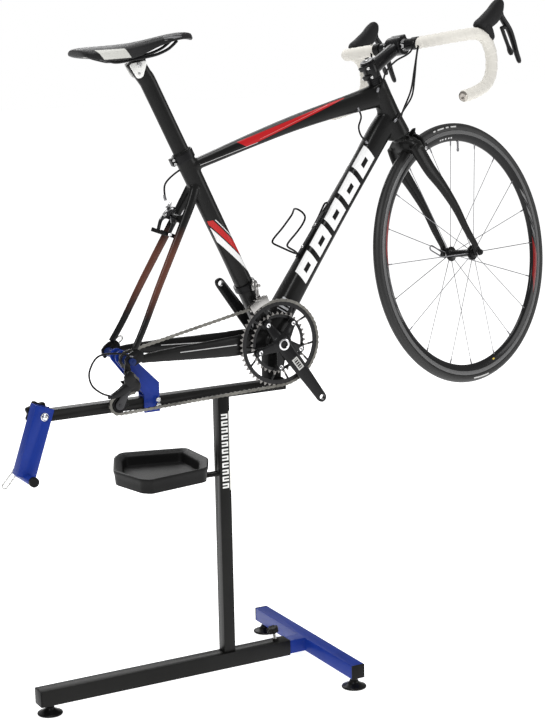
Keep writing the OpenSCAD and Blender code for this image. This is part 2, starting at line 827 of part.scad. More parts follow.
// One arm of a rim brake: pivot at the origin, shoe below, drawn on the side it clamps
module caliper_arm(side, lift, shoe_r) {
    color("black") {
        difference() {
            union() {
                rotate([0, 90, 0]) cylinder(r = 8, h = 7, center = true);
                hull() {
                    rotate([0, 90, 0]) cylinder(r = 7, h = 7, center = true);
                    translate([0, side * 26, -14]) rotate([0, 90, 0]) cylinder(r = 6, h = 7, center = true);
                }
                hull() {
                    translate([0, side * 26, -14]) rotate([0, 90, 0]) cylinder(r = 6, h = 7, center = true);
                    translate([0, side * 21, -shoe_r]) rotate([0, 90, 0]) cylinder(r = 6, h = 7, center = true);
                }
                hull() {
                    rotate([0, 90, 0]) cylinder(r = 6, h = 7, center = true);
                    translate([0, -side * lift, 18]) rotate([0, 90, 0]) cylinder(r = 5, h = 7, center = true);
                }
            }
            rotate([0, 90, 0]) cylinder(r = 3 + fit, h = 30, center = true);
        }
        translate([-20, side * 16 - 4, -shoe_r - 6]) cube([40, 8, 11]);
    }
}

// Brake bolts, the lean of each brake's arms, and how far the shoes hang below the bolt
front_brake_at = on_steer(head_low - 12) + [40, 0, 0];
front_lean = -18;
front_shoe = 38;
rear_brake_at = [-190, 0, 353];
brake_lean = 31;
rear_shoe = 42;

module front_caliper(side, step) {
    on_fork() translate(front_brake_at) rotate([0, front_lean, 0]) translate([step, 0, 0])
        caliper_arm(side, 22, front_shoe);
}

module front_caliper_right() {
    front_caliper(-1, 4);
}

module front_caliper_left() {
    front_caliper(1, -4);
}

module rear_caliper(side, step) {
    on_bicycle() translate(rear_brake_at) rotate([0, brake_lean, 0]) translate([step, 0, 0])
        caliper_arm(side, 22, rear_shoe);
}

module rear_caliper_right() {
    rear_caliper(-1, -18);
}

module rear_caliper_left() {
    rear_caliper(1, -26);
}

// ---- front wheel ----

module front_axle() {
    on_fork() {
        color("silver") {
            pin(front_hub_at, 4.4, front_track + 7);
            for (side = [-1, 1]) pin(front_hub_at, 8, 1.5, side * (front_track - 1.5));
            pin(front_hub_at, 2.4, front_track + 11);
        }
        color("black") {
            pin(front_hub_at, 8.5, 5, -front_track - 12);
            pin(front_hub_at, 8, 2, front_track + 8.5);
        }
    }
}

module front_hub() {
    color("black") on_fork() difference() {
        union() {
            pin(front_hub_at, 10, 44);
            for (side = [-1, 1]) {
                pin(front_hub_at, 19, 2.5, side * 35);
                pin(front_hub_at, 14, 5, side * 40);
            }
        }
        pin(front_hub_at, 4.4 + fit, 60);
    }
}

module front_spokes() {
    spokes = 20;
    rim_in = tyre_r - 46;
    color("silver") on_fork() for (i = [0 : spokes - 1]) {
        side = i % 2 ? 1 : -1;
        translate(front_hub_at) rotate([0, 360 * (i + 0.5) / spokes, 0])
            rod([19.2, side * 35, 0], [rim_in - 0.5, side * 3, 0], 1.1, $fn = 16);
    }
}

module front_rim() {
    outer = tyre_r - 19;
    inner = tyre_r - 46;
    color("black") on_fork() translate(front_hub_at) rotate([90, 0, 0]) rotate_extrude($fn = 96)
        difference() {
            polygon([[inner, -4], [inner + 6, -9], [outer - 10, -10], [outer, -10],
                [outer, 10], [outer - 10, 10], [inner + 6, 9], [inner, 4]]);
            polygon([[inner + 2, -3], [inner + 7, -7.5], [outer - 9, -8.5], [outer - 9, 8.5], [inner + 7, 7.5],
                [inner + 2, 3]]);
            translate([outer - 7, -8]) square([10, 16]);
        }
    color("black") on_fork() translate(front_hub_at) rotate([0, -76, 0]) rod([inner - 38, 0, 0], [inner - 0.2, 0, 0], 3);
}

module front_tyre() {
    color("dimgray") on_fork() translate(front_hub_at) rotate([90, 0, 0]) rotate_extrude($fn = 96) difference() {
        translate([tyre_r - tyre_section, 0]) circle(r = tyre_section);
        translate([tyre_r - tyre_section, 0]) circle(r = tyre_section - 2.5);
        translate([tyre_r - 60, -20]) square([41, 40]);
    }
}

module wheel_lever() {
    color("silver") on_fork() translate(front_hub_at + [0, front_track + 17, 0]) rotate([0, 217, 0]) wire_lever(50);
}

// ---- drive ----

// A toothed ring of the given teeth, drawn on the XY plane
module teeth(count, r) {
    step = 360 / count;
    polygon([for (i = [0 : count - 1]) for (t = [[0.10, -3.4], [0.38, 3], [0.62, 3], [0.90, -3.4]])
        (r + t[1]) * [cos(step * (i + t[0])), sin(step * (i + t[0]))]]);
}

module on_crank() {
    on_bicycle() rotate([0, crank_angle, 0]) children();
}

module chainrings() {
    spider = 5;
    color("dimgray") on_crank() {
        translate([0, chain_y, 0]) rotate([90, 0, 0]) linear_extrude(height = ring_w, center = true) difference() {
            teeth(big_teeth, ring_r);
            circle(r = 88);
        }
        translate([0, chain_y + 7.5, 0]) rotate([90, 0, 0]) linear_extrude(height = ring_w, center = true) difference() {
            teeth(small_teeth, small_r);
            circle(r = 60);
        }
        for (i = [0 : spider - 1]) rotate([0, 360 * (i + 0.5) / spider, 0]) {
            translate([53, chain_y - ring_w / 2, -9]) cube([40, ring_w, 18]);
            translate([48, chain_y, -8]) cube([16, 7.5, 16]);
        }
    }
}

module cranks() {
    arm_y = -62;
    color("black") on_crank() difference() {
        union() {
            // right arm with its spider
            hull() {
                pin([0, 0, 0], 20, 7, arm_y);
                pin([crank_len, 0, 0], 13, 6, -72);
            }
            pin([0, 0, 0], 27, 6, -54);
            for (i = [0 : 4]) rotate([0, 360 * (i + 0.5) / 5, 0]) hull() {
                translate([16, -59, -12]) cube([2, 10, 24]);
                translate([66, -52, -8]) cube([2, 52 + chain_y - ring_w / 2, 16]);
            }
            // left arm
            hull() {
                pin([0, 0, 0], 17, 7, 60);
                pin([-crank_len, 0, 0], 13, 6, 72);
            }
            pin([0, 0, 0], 12, 62, 3);
        }
        pin([crank_len, 0, 0], 7, 20, -72);
        pin([-crank_len, 0, 0], 7, 20, 72);
        pin([0, 0, 0], 9, 90);
    }
}

// Angle on wheel p where a straight run leaves it for wheel q, for wheels turning the same way
function leave_open(p, r, q, s) = let (d = q - p) atan2(d[2], d[0]) - acos((r - s) / norm(d));
// The same where the run crosses over to a wheel turning the other way
function leave_crossed(p, r, q, s, turn) = let (d = q - p) atan2(d[2], d[0]) + turn * acos((r + s) / norm(d));
function arc(c, r, a, b, n) = [for (i = [0 : n]) let (t = a + (b - a) * i / n) [c[0] + r * cos(t), c[2] + r * sin(t)]];

// The chain goes over the big ring, back over the stand's roller, down in front of the upper pulley,
// behind the lower pulley and forward again
ring_at = [0, 0, 0];
top_angle = leave_open(ring_at, ring_r, rear_hub, roller_r);
roller_angle = 360 + leave_crossed(rear_hub, roller_r, upper_at, pulley_r, -1);
upper_angle = leave_crossed(upper_at, pulley_r, lower_at, pulley_r, 1);
lower_angle = leave_open(lower_at, pulley_r, ring_at, ring_r);
chain_loop = concat(
    arc(ring_at, ring_r, lower_angle, top_angle, 30),
    arc(rear_hub, roller_r, top_angle, roller_angle, 8),
    arc(upper_at, pulley_r, roller_angle - 180, upper_angle, 8),
    arc(lower_at, pulley_r, upper_angle + 180, lower_angle + 360, 10)
);

// The closed band that one row of link plates makes
module plate_band(half) {
    n = len(chain_loop);
    across = [for (i = [0 : n - 1]) let (d = chain_loop[(i + 1) % n] - chain_loop[(i + n - 1) % n])
        [d[1], -d[0]] / norm(d)];
    polygon(concat([for (i = [0 : n - 1]) chain_loop[i] + half * across[i]],
                   [for (i = [0 : n - 1]) chain_loop[i] - half * across[i]]),
            [[for (i = [0 : n - 1]) i], [for (i = [0 : n - 1]) n + i]]);
}

module chain() {
    plate = 1.5;
    top_run = [chain_loop[30], chain_loop[31]];
    low_run = [chain_loop[len(chain_loop) - 1], chain_loop[0]];
    color("silver") on_bicycle() translate([0, chain_y, 0]) rotate([90, 0, 0]) {
        for (side = [-1, 1]) translate([0, 0, side * (ring_w / 2 + gap + plate / 2)])
            linear_extrude(height = plate, center = true) plate_band(4);
        for (run = [top_run, low_run]) for (i = [4 : 2 : floor(norm(run[1] - run[0]) / chain_pitch) - 4])
            translate(run[0] + i * chain_pitch * (run[1] - run[0]) / norm(run[1] - run[0]))
                cylinder(r = 2.5, h = ring_w + 2 * gap + plate, center = true, $fn = 16);
    }
}

module front_mech() {
    color("silver") on_bicycle() {
        difference() {
            on_seat_tube(150) linear_extrude(height = 14) post_section(52, 51.4, 0);
            on_seat_tube(140) linear_extrude(height = 34) post_section(44, 43.4, 0);
        }
        translate([-42, -38, 142]) cube([16, 15, 16]);
    }
}

module front_mech_cage() {
    reach = 16;
    color("silver") on_bicycle() {
        for (y = [chain_y - 7, chain_y + 6]) translate([0, y, 0]) rotate([90, 0, 0]) rotate([0, 0, 98])
            rotate_extrude_flat(ring_r + 6, reach, 24);
        translate([-42, chain_y - 7, ring_r + 14]) cube([16, 15, 4]);
        translate([-38, chain_y + 7, ring_r + 14]) cube([8, 6, 22]);
    }
}

// A flat curved plate that follows the ring
module rotate_extrude_flat(r, reach, span) {
    linear_extrude(height = 1.5, center = true)
        polygon(concat(
            [for (i = [0 : 8]) let (t = span * i / 8) r * [cos(t), sin(t)]],
            [for (i = [8 : -1 : 0]) let (t = span * i / 8) (r + reach) * [cos(t), sin(t)]]));
}

// ---- rear mech ----

module rear_mech() {
    bolt = rear_hub + [-14, 0, -27];
    color("black") on_bicycle() difference() {
        union() {
            pin(bolt, 9, 7, -rear_track - 14);
            hull() {
                pin(bolt, 8, 6, -rear_track - 15);
                pin(upper_at + [2, 0, 2], 9, 6, -rear_track - 12);
            }
            hull() {
                pin(upper_at, 9, 6, -rear_track - 12);
                pin([rear_x - 66, 0, 4], 5, 4, -rear_track - 12);
            }
            pin(upper_at, 12, 10, -rear_track + 1);
        }
        pin(bolt, 4, 60, -rear_track);
        pin(upper_at, 3 + fit, 90);
    }
}

module mech_cage() {
    color("dimgray") on_bicycle() {
        for (y = [chain_y - 6.5, chain_y + 6.5]) hull() {
            pin(upper_at, 12, 1.2, y);
            pin(lower_at, 12, 1.2, y);
        }
        pin(upper_at, 3, 16, chain_y - 8.5);
        pin(lower_at, 3, 7.5, chain_y);
    }
}

module pulley(at) {
    color("black") on_bicycle() translate(at + [0, chain_y, 0]) rotate([90, 0, 0]) difference() {
        union() {
            linear_extrude(height = ring_w, center = true) teeth(pulley_teeth, pulley_r);
            cylinder(r = pulley_r - 5, h = 7, center = true);
        }
        cylinder(r = 3 + fit, h = 10, center = true);
    }
}

module upper_pulley() {
    pulley(upper_at);
}

module lower_pulley() {
    pulley(lower_at);
}

// ---- cables ----

module bar_cables() {
    front_brake = [bar_at + [0, -70, 10], [518, -50, 604], [512, -34, 560], [506, -24, 510], [510, -20, 466],
        [505, -20, 440]];
    rear_brake = [bar_at + [-8, -72, 12], [478, -60, 606], [440, -44, 594], [412, -32, 576], [398, -28, 556],
        [388, -25, 538]];
    shift_right = [bar_at + [-6, -80, 10], [484, -72, 590], [480, -56, 540], [474, -42, 500], [446, -34, 474],
        [420, -31, 456]];
    shift_left = [bar_at + [-6, 80, 10], [484, 72, 590], [480, 60, 540], [470, 46, 500], [446, 38, 474],
        [420, 31, 456]];
    color("black") on_fork()
        for (path = [front_brake, rear_brake, shift_right, shift_left]) tube(spline(path, 4), 2.2);
}

module frame_cables() {
    mech_loop = [[-392, -68, 80], [-430, -72, 98], [-480, -78, 106], [-509, -80, 78], [-510, -80, 46],
        [-490, -79, 20], [rear_x - 69, -77, 6]];
    brake_run = [[-98, 12, 458], [-120, 24, 460], [-150, 30, 456], [-190, 30, 434], [-200, 24, 402]];
    under_loop = [[330, -19, 503], [330, -26, 484], [318, -28, 462], [322, -26, 440], [338, -20, 420]];
    color("black") on_bicycle() for (path = [mech_loop, brake_run, under_loop]) tube(spline(path, 4), 2.2);
}

base_beam();
mast();
tube_caps();
beam_foot();
tray();
bb_cradle();
rear_bracket();
stand_axle();
crossbar();
crossbar_ends();
beam_clamp();
fork_bracket();
bracket_skewer();
bracket_knob();
bracket_lever();
axle_lever();
head_tube();
top_tube();
down_tube();
seat_tube();
bb_shell();
chainstays();
seatstays();
bearings();
bolts();
seat_clamp();
bottle_cage();
frame_cables();
seatpost();
saddle_rails();
saddle();
fork();
stem();
handlebar();
bar_tape();
hoods();
bar_cables();
brake_lever_right();
brake_lever_left();
shift_paddle_right();
shift_paddle_left();
front_caliper_right();
front_caliper_left();
rear_caliper_right();
rear_caliper_left();
front_axle();
front_hub();
front_spokes();
front_rim();
front_tyre();
wheel_lever();
cranks();
chainrings();
chain();
front_mech();
front_mech_cage();
rear_mech();
mech_cage();
upper_pulley();
lower_pulley();
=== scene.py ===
import math

import bmesh
import bpy
from mathutils import Matrix, Vector


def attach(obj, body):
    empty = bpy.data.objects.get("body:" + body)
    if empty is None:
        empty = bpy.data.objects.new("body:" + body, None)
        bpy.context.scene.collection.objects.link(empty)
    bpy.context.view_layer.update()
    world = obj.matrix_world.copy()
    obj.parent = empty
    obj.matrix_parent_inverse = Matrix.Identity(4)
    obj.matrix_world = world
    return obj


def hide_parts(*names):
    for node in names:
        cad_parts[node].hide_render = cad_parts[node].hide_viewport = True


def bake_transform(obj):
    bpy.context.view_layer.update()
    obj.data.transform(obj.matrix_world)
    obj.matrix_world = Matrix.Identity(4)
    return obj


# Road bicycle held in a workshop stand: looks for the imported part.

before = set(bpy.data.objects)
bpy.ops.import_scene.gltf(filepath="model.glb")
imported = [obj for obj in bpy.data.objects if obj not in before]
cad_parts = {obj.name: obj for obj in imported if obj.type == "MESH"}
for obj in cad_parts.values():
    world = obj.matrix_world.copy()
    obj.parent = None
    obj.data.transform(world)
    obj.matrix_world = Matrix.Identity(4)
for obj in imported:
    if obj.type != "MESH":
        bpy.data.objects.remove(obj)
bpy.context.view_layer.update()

MM = 0.001
rad = math.radians
bpy.ops.object.select_all(action="DESELECT")

# ---- places, in millimetres, as the part's source has them ----

PITCH = 9.2
STEER = 18.4
HEAD = 73.0
SEAT = 73.5
BB = Vector((621, 0, 845))
REAR_X = -math.sqrt(405 ** 2 - 70 ** 2)
REAR_HUB = Vector((REAR_X, 0, 70))
FRONT_HUB = Vector((REAR_X + 992, 0, 70))
STEER_DIR = Vector((-math.cos(rad(HEAD)), 0, math.sin(rad(HEAD))))
STEER_FOOT = FRONT_HUB - 43 * Vector((math.sin(rad(HEAD)), 0, math.cos(rad(HEAD))))
SEAT_DIR = Vector((-math.cos(rad(SEAT)), 0, math.sin(rad(SEAT))))
CHAIN_Y = -45
INNER_Y = CHAIN_Y + 7.5
RING_BOLT_R = 58.5
SPOKES = 20
RING_R = 12.7 / (2 * math.sin(math.pi / 52))
SMALL_R = 12.7 / (2 * math.sin(math.pi / 36))
PULLEY_R = 12.7 / (2 * math.sin(math.pi / 11))
UPPER = Vector((REAR_X - 5, 0, 10))
LOWER = Vector((REAR_X - 41, 0, -30))
PIVOT = Vector((16, 0, 733))


def on_steer(d):
    return STEER_FOOT + d * STEER_DIR


BAR = on_steer(553) + 120 * Vector((math.cos(rad(18)), 0, math.sin(rad(18))))


def turn(axis, degrees):
    return Matrix.Rotation(rad(degrees), 4, axis)


def shift(v):
    return Matrix.Translation(Vector(v))


def facing(place, at, direction):
    """A place at a point, with its Z axis along a direction."""
    return place @ shift(at) @ Vector(direction).to_track_quat("Z", "Y").to_matrix().to_4x4()


def station(base, x, y, z, *sizes):
    """A limb's station, measured from a base point."""
    return (*(base + Vector((x, y, z))), *sizes)


def rod(start, end, r):
    """The turned profile of a plain rod."""
    return [(start, 0), (start, r), (end, r), (end, 0)]


def twice(half, middle=()):
    """A turned profile made of one half, a middle and the half's mirror image."""
    return half + list(middle) + [(-y, r) for y, r in half[::-1]]


def faced(side, profile):
    """A turned profile that points to one side."""
    return [(side * y, r) for y, r in profile]


def sided(side, stations):
    """Stations or points moved to one side."""
    return [(x, side * y, *rest) for x, y, *rest in stations]


METRES = Matrix.Scale(MM, 4)
ROOM = METRES
BIKE = METRES @ shift(BB) @ turn("Y", -PITCH)
FORK = BIKE @ shift(STEER_FOOT) @ turn("Y", HEAD - 90) @ turn("Z", STEER) @ turn("Y",
    90 - HEAD) @ shift(-STEER_FOOT)
WHEEL = FORK @ shift(FRONT_HUB)
CRANK_TURN = 64
CRANK = BIKE @ turn("Y", CRANK_TURN)
BRAKE_AT = on_steer(358) + Vector((40, 0, 0))
BRAKE_LEAN = -18
FRONT_BRAKE = FORK @ shift(BRAKE_AT) @ turn("Y", BRAKE_LEAN)
REAR_BRAKE = BIKE @ shift((-190, 0, 353)) @ turn("Y", 31)
BRACKET = METRES @ shift(PIVOT) @ turn("Y", 19)
AXLE = METRES @ shift((BIKE @ REAR_HUB) / MM)

# ---- camera and light ----

camera = bpy.data.objects.new("camera", bpy.data.cameras.new("camera"))
bpy.context.collection.objects.link(camera)
bpy.context.scene.camera = camera
eye = Vector((-1.478, -3.910, 1.712))
toward = Vector((0.4633, 0.8564, -0.2278))
camera.matrix_world = (Matrix.Translation(eye) @ toward.to_track_quat("-Z",
    "Y").to_matrix().to_4x4() @ Matrix.Rotation(rad(-1.09), 4, "Z"))
camera.data.lens = 92.1
camera.data.sensor_width = 36
camera.data.shift_x = -0.0074
camera.data.shift_y = 0.0664
camera.data.clip_end = 60


def soft_light(name, place, size, watts, aim=(0.6, 0, 0.8)):
    lamp = bpy.data.objects.new(name, bpy.data.lights.new(name, "AREA"))
    lamp.data.size = size
    lamp.data.energy = watts
    bpy.context.collection.objects.link(lamp)
    lamp.location = place
    lamp.rotation_euler = (Vector(aim) - Vector(place)).to_track_quat("-Z", "Y").to_euler()


soft_light("key", (-2.4, -3.0, 4.2), 1.8, 110)
soft_light("fill", (3.8, -2.4, 2.0), 1.6, 30)
soft_light("back", (1.2, 4.0, 3.0), 2.4, 60)
soft_light("top", (0.6, 0.6, 4.6), 2.0, 80)
world = bpy.data.worlds.new("studio")
bpy.context.scene.world = world
world.use_nodes = True
sky = world.node_tree
paths = sky.nodes.new("ShaderNodeLightPath")
glow = sky.nodes.new("ShaderNodeMapRange")
glow.inputs["To Min"].default_value = 0.34
glow.inputs["To Max"].default_value = 1.0
sky.links.new(paths.outputs["Is Camera Ray"], glow.inputs["Value"])
sky.links.new(glow.outputs["Result"], sky.nodes["Background"].inputs["Strength"])
sky.nodes["Background"].inputs["Color"].default_value = (1, 1, 1, 1)
bpy.context.scene.view_settings.view_transform = "Standard"

# ---- finishes ----


def link(nt, a, b):
    nt.links.new(a, b)


def new_node(nt, kind, **inputs):
    n = nt.nodes.new("ShaderNode" + kind)
    for key, value in inputs.items():
        n.inputs[key].default_value = value
    return n


def finish(name, color, rough=0.5, metal=0.0, coat=0.0, grain=400.0, bump=0.1, mottle=0.25, spread=0.12,
        stretch=None, specular=0.12, sheen=0.0):
    """A surface whose colour, roughness and relief vary over the piece."""
    m = bpy.data.materials.new(name)
    m.use_nodes = True
    nt = m.node_tree
    shader = nt.nodes["Principled BSDF"]
    settings = {"Metallic": metal, "Coat Weight": coat, "Coat Roughness": 0.08,
        "Specular IOR Level": specular, "Sheen Weight": sheen}
    for key, value in settings.items():
        shader.inputs[key].default_value = value
    where = new_node(nt, "TexCoord")
    place = new_node(nt, "Mapping", Scale=stretch or (1, 1, 1))
    link(nt, where.outputs["Object"], place.inputs["Vector"])
    broad = new_node(nt, "TexNoise", Scale=14, Detail=6)
    link(nt, where.outputs["Object"], broad.inputs["Vector"])
    fine = new_node(nt, "TexNoise", Scale=grain, Detail=3)
    link(nt, place.outputs["Vector"], fine.inputs["Vector"])
    tint = new_node(nt, "ValToRGB")
    dark, light = tint.color_ramp.elements
    dark.position = 0.25
    light.position = 0.8
    dark.color = [c * (1 - mottle) for c in color] + [1]
    light.color = [min(1, c * (1 + mottle)) for c in color] + [1]
    link(nt, broad.outputs["Fac"], tint.inputs["Fac"])
    link(nt, tint.outputs["Color"], shader.inputs["Base Color"])
    polish = new_node(nt, "MapRange")
    polish.inputs["To Min"].default_value = max(0.02, rough - spread)
    polish.inputs["To Max"].default_value = min(1, rough + spread)
    link(nt, fine.outputs["Fac"], polish.inputs["Value"])
    link(nt, polish.outputs["Result"], shader.inputs["Roughness"])
    relief = new_node(nt, "Bump", Strength=bump, Distance=0.0004)
    link(nt, fine.outputs["Fac"], relief.inputs["Height"])
    link(nt, relief.outputs["Normal"], shader.inputs["Normal"])
    m["tint"] = tint.name
    return m


class Value:
    """A number that a material's nodes work out."""

    def __init__(self, out):
        self.out = out

    def __add__(self, other):
        return maths("ADD", self, other)

    def __radd__(self, other):
        return maths("ADD", other, self)

    def __sub__(self, other):
        return maths("SUBTRACT", self, other)

    def __rsub__(self, other):
        return maths("SUBTRACT", other, self)

    def __mul__(self, other):
        return maths("MULTIPLY", self, other)

    def __mod__(self, other):
        return maths("MODULO", self, other)

    def __gt__(self, other):
        return maths("GREATER_THAN", self, other)

    def __lt__(self, other):
        return maths("LESS_THAN", self, other)

    def __abs__(self):
        return maths("ABSOLUTE", self)


def maths(op, a, b=None, clamp=False):
    nt = (a if isinstance(a, Value) else b).out.id_data
    n = new_node(nt, "Math")
    n.operation = op
    n.use_clamp = clamp
    for i, v in enumerate((a, b)):
        if isinstance(v, Value):
            link(nt, v.out, n.inputs[i])
        elif v is not None:
            n.inputs[i].default_value = v
    return Value(n.outputs[0])


def fold(value, step):
    """Runs up and down between 0 and step."""
    return maths("PINGPONG", value, step)


def minus(mask, hole):
    return maths("SUBTRACT", mask, hole, True)


def band(value, low, high, soft=0.0006):
    """1 where value lies between low and high."""
    return maths("DIVIDE", value - low, soft, True) * maths("DIVIDE", high - value, soft, True)


def both(*masks):
    out = masks[0]
    for m in masks[1:]:
        out = out * m
    return out


def either(*masks):
    out = masks[0]
    for m in masks[1:]:
        out = maths("MAXIMUM", out, m)
    return out


def local(m, place):
    """x, y and z of a point in a place's own frame, in metres."""
    nt = m.node_tree
    where = nt.nodes.new("ShaderNodeTexCoord")
    to = nt.nodes.new("ShaderNodeMapping")
    to.vector_type = "TEXTURE"
    spot, spin, _ = (place @ METRES.inverted()).decompose()
    to.inputs["Location"].default_value = spot
    to.inputs["Rotation"].default_value = spin.to_euler("XYZ")
    link(nt, where.outputs["Object"], to.inputs["Vector"])
    split = nt.nodes.new("ShaderNodeSeparateXYZ")
    link(nt, to.outputs["Vector"], split.inputs[0])
    return [Value(out) for out in split.outputs]


def paint(m, mask, color):
    """Lays a colour over the material where the mask is 1."""
    nt = m.node_tree
    shader = nt.nodes["Principled BSDF"]
    old = shader.inputs["Base Color"].links[0].from_socket
    mix = nt.nodes.new("ShaderNodeMix")
    mix.data_type = "RGBA"
    link(nt, mask.out, mix.inputs["Factor"])
    link(nt, old, mix.inputs["A"])
    mix.inputs["B"].default_value = list(color) + [1]
    link(nt, mix.outputs["Result"], shader.inputs["Base Color"])


black_steel = finish("black powder coat", (0.0060, 0.0060, 0.0055), 0.40, grain=900, bump=0.25,
    specular=0.16)
blue_steel = finish("blue powder coat", (0.008, 0.030, 0.235), 0.36, grain=900, bump=0.22, coat=0.08,
    mottle=0.15)
navy_steel = finish("navy paint", (0.010, 0.022, 0.10), 0.35, grain=900, bump=0.2, mottle=0.15)
zinc = finish("bright zinc", (0.55, 0.55, 0.53), 0.28, 1.0, grain=300, bump=0.08, mottle=0.12)
steel = finish("stainless steel", (0.60, 0.60, 0.60), 0.24, 1.0, grain=250, bump=0.05, mottle=0.1,
    stretch=(1, 1, 14))
chrome = finish("polished alloy", (0.72, 0.72, 0.73), 0.16, 1.0, grain=250, bump=0.04, mottle=0.08)
grey_alloy = finish("grey anodised alloy", (0.20, 0.20, 0.21), 0.32, 0.8, grain=700, bump=0.1,
    mottle=0.12)
black_alloy = finish("black anodised alloy", (0.0077, 0.0077, 0.0083), 0.32, 0.3, grain=800, bump=0.12,
    specular=0.16)
gloss_black = finish("gloss black", (0.0055, 0.0055, 0.0060), 0.24, coat=0.18, grain=500, bump=0.03)
plastic = finish("black moulding", (0.0066, 0.0066, 0.0066), 0.45, grain=1100, bump=0.3)
rubber = finish("black rubber", (0.0055, 0.0055, 0.0055), 0.36, coat=0.15, grain=700, bump=0.2)
cable = finish("cable housing", (0.0066, 0.0066, 0.0072), 0.38, grain=900, bump=0.1)
white_alloy = finish("white lacquer", (0.78, 0.78, 0.76), 0.3, coat=0.3, grain=500, bump=0.05,
    mottle=0.05)

# ---- making and shaping ----


def bake(obj, place):
    """Puts the place into the mesh, so that the object sits at the origin."""
    obj.data.transform(place)
    obj.matrix_world = Matrix.Identity(4)


def all_smooth(obj):
    for face_ in obj.data.polygons:
        face_.use_smooth = True


def dress(obj, material, body, nodes=(), smooth=35):
    obj.data.materials.clear()
    obj.data.materials.append(material)
    bpy.ops.object.select_all(action="DESELECT")
    bpy.context.view_layer.objects.active = obj
    obj.select_set(True)
    if smooth:
        bpy.ops.object.shade_smooth_by_angle(angle=rad(smooth))
    obj.select_set(False)
    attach(obj, body)
    if nodes:
        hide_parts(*nodes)
    return obj


def piece(name, verts, faces, place):
    mesh = bpy.data.meshes.new(name)
    mesh.from_pydata([tuple(v) for v in verts], [], faces)
    mesh.validate()
    obj = bpy.data.objects.new(name, mesh)
    bpy.context.collection.objects.link(obj)
    bake(obj, place)
    outward(obj)
    return obj


def outward(obj):
    bm = bmesh.new()
    bm.from_mesh(obj.data)
    bmesh.ops.remove_doubles(bm, verts=bm.verts, dist=1e-6)
    bmesh.ops.recalc_face_normals(bm, faces=bm.faces)
    bm.to_mesh(obj.data)
    bm.free()


def modify(obj, kind, **settings):
    mod = obj.modifiers.new(kind.lower(), kind)
    for key, value in settings.items():
        setattr(mod, key, value)
    bpy.ops.object.select_all(action="DESELECT")
    bpy.context.view_layer.objects.active = obj
    obj.select_set(True)
    bpy.ops.object.modifier_apply(modifier=mod.name)
    obj.select_set(False)
    return obj


def join(name, objs):
    bpy.ops.object.select_all(action="DESELECT")
    for o in objs:
        o.select_set(True)
    bpy.context.view_layer.objects.active = objs[0]
    bpy.ops.object.join()
    objs[0].name = name
    objs[0].select_set(False)
    return objs[0]


def skin(rings, closed=False):
    """Vertices and faces of a shell through rings of points; open shells get flat ends."""
    n = len(rings[0])
    verts = [p for r in rings for p in r]
    count = len(rings)
    faces = []
    for i in range(count if closed else count - 1):
        j = (i + 1) % count
        for k in range(n):
            l = (k + 1) % n
            faces.append((i * n + k, j * n + k, j * n + l, i * n + l))
    if not closed:
        faces.append(tuple(range(n)))
        faces.append(tuple(range((count - 1) * n, count * n))[::-1])
    return verts, faces


def oval(c, t, deep, wide, n=24, power=2.0, side=Vector((0, 1, 0))):
    """A ring round c, square to t: deep and wide are half sizes, and wide lies along side."""
    t = Vector(t).normalized()
    b = (side - side.dot(t) * t).normalized()
    a = b.cross(t)
    ring = []
    for k in range(n):
        w = 2 * math.pi * k / n
        cw = math.cos(w)
        sw = math.sin(w)
        ring.append(Vector(c) + a * deep * math.copysign(abs(cw) ** (2 / power),
            cw) + b * wide * math.copysign(abs(sw) ** (2 / power), sw))
    return ring


def smooth_path(points, steps):
    """A smooth curve through points given as tuples of numbers."""
    pts = [Vector(p) for p in points]
    out = []
    last = len(pts) - 1
    for i in range(last):
        a = pts[max(i - 1, 0)]
        b = pts[i]
        c = pts[i + 1]
        d = pts[min(i + 2, last)]
        for s in range(steps):
            t = s / steps
            out.append(0.5 * ((2 * b) + (c - a) * t + (2 * a - 5 * b + 4 * c - d) * t * t
                + (3 * b - a - 3 * c + d) * t ** 3))
    out.append(pts[last])
    return out


def limb(name, stations, place, steps=6, n=24, power=2.0, side=Vector((0, 1, 0))):
    """A solid limb through stations (x, y, z, half depth, half width)."""
    path = smooth_path_n(stations, steps)
    rings = []
    for i, s in enumerate(path):
        before = path[max(i - 1, 0)]
        after = path[min(i + 1, len(path) - 1)]
        t = Vector(after[:3]) - Vector(before[:3])
        rings.append(oval(s[:3], t, s[3], s[4], n, power, side))
    return piece(name, *skin(rings), place)


def smooth_path_n(stations, steps):
    last = len(stations) - 1
    out = []
    for i in range(last):
        a = stations[max(i - 1, 0)]
        b = stations[i]
        c = stations[i + 1]
        d = stations[min(i + 2, last)]
        for s in range(steps):
            t = s / steps
            out.append([0.5 * (2 * q + (r - p) * t + (2 * p - 5 * q + 4 * r - u) * t * t
                + (3 * q - p - 3 * r + u) * t ** 3) for p, q, r, u in zip(a, b, c, d)])
    out.append(list(stations[last]))
    return out


def wire(name, points, radius, place, steps=6, n=12):
    """A round wire, cord or bar along a smooth path."""
    path = smooth_path(points, steps) if steps > 1 else [Vector(p) for p in points]
    t0 = (path[1] - path[0]).normalized()
    side = t0.orthogonal().normalized()
    rings = []
    for i, p in enumerate(path):
        t = (path[min(i + 1, len(path) - 1)] - path[max(i - 1, 0)]).normalized()
        side = (side - side.dot(t) * t).normalized()
        up = t.cross(side)
        r = radius(i / (len(path) - 1)) if callable(radius) else radius
        rings.append([p + r * (side * math.cos(2 * math.pi * k / n) + up
            * math.sin(2 * math.pi * k / n)) for k in range(n)])
    return piece(name, *skin(rings), place)


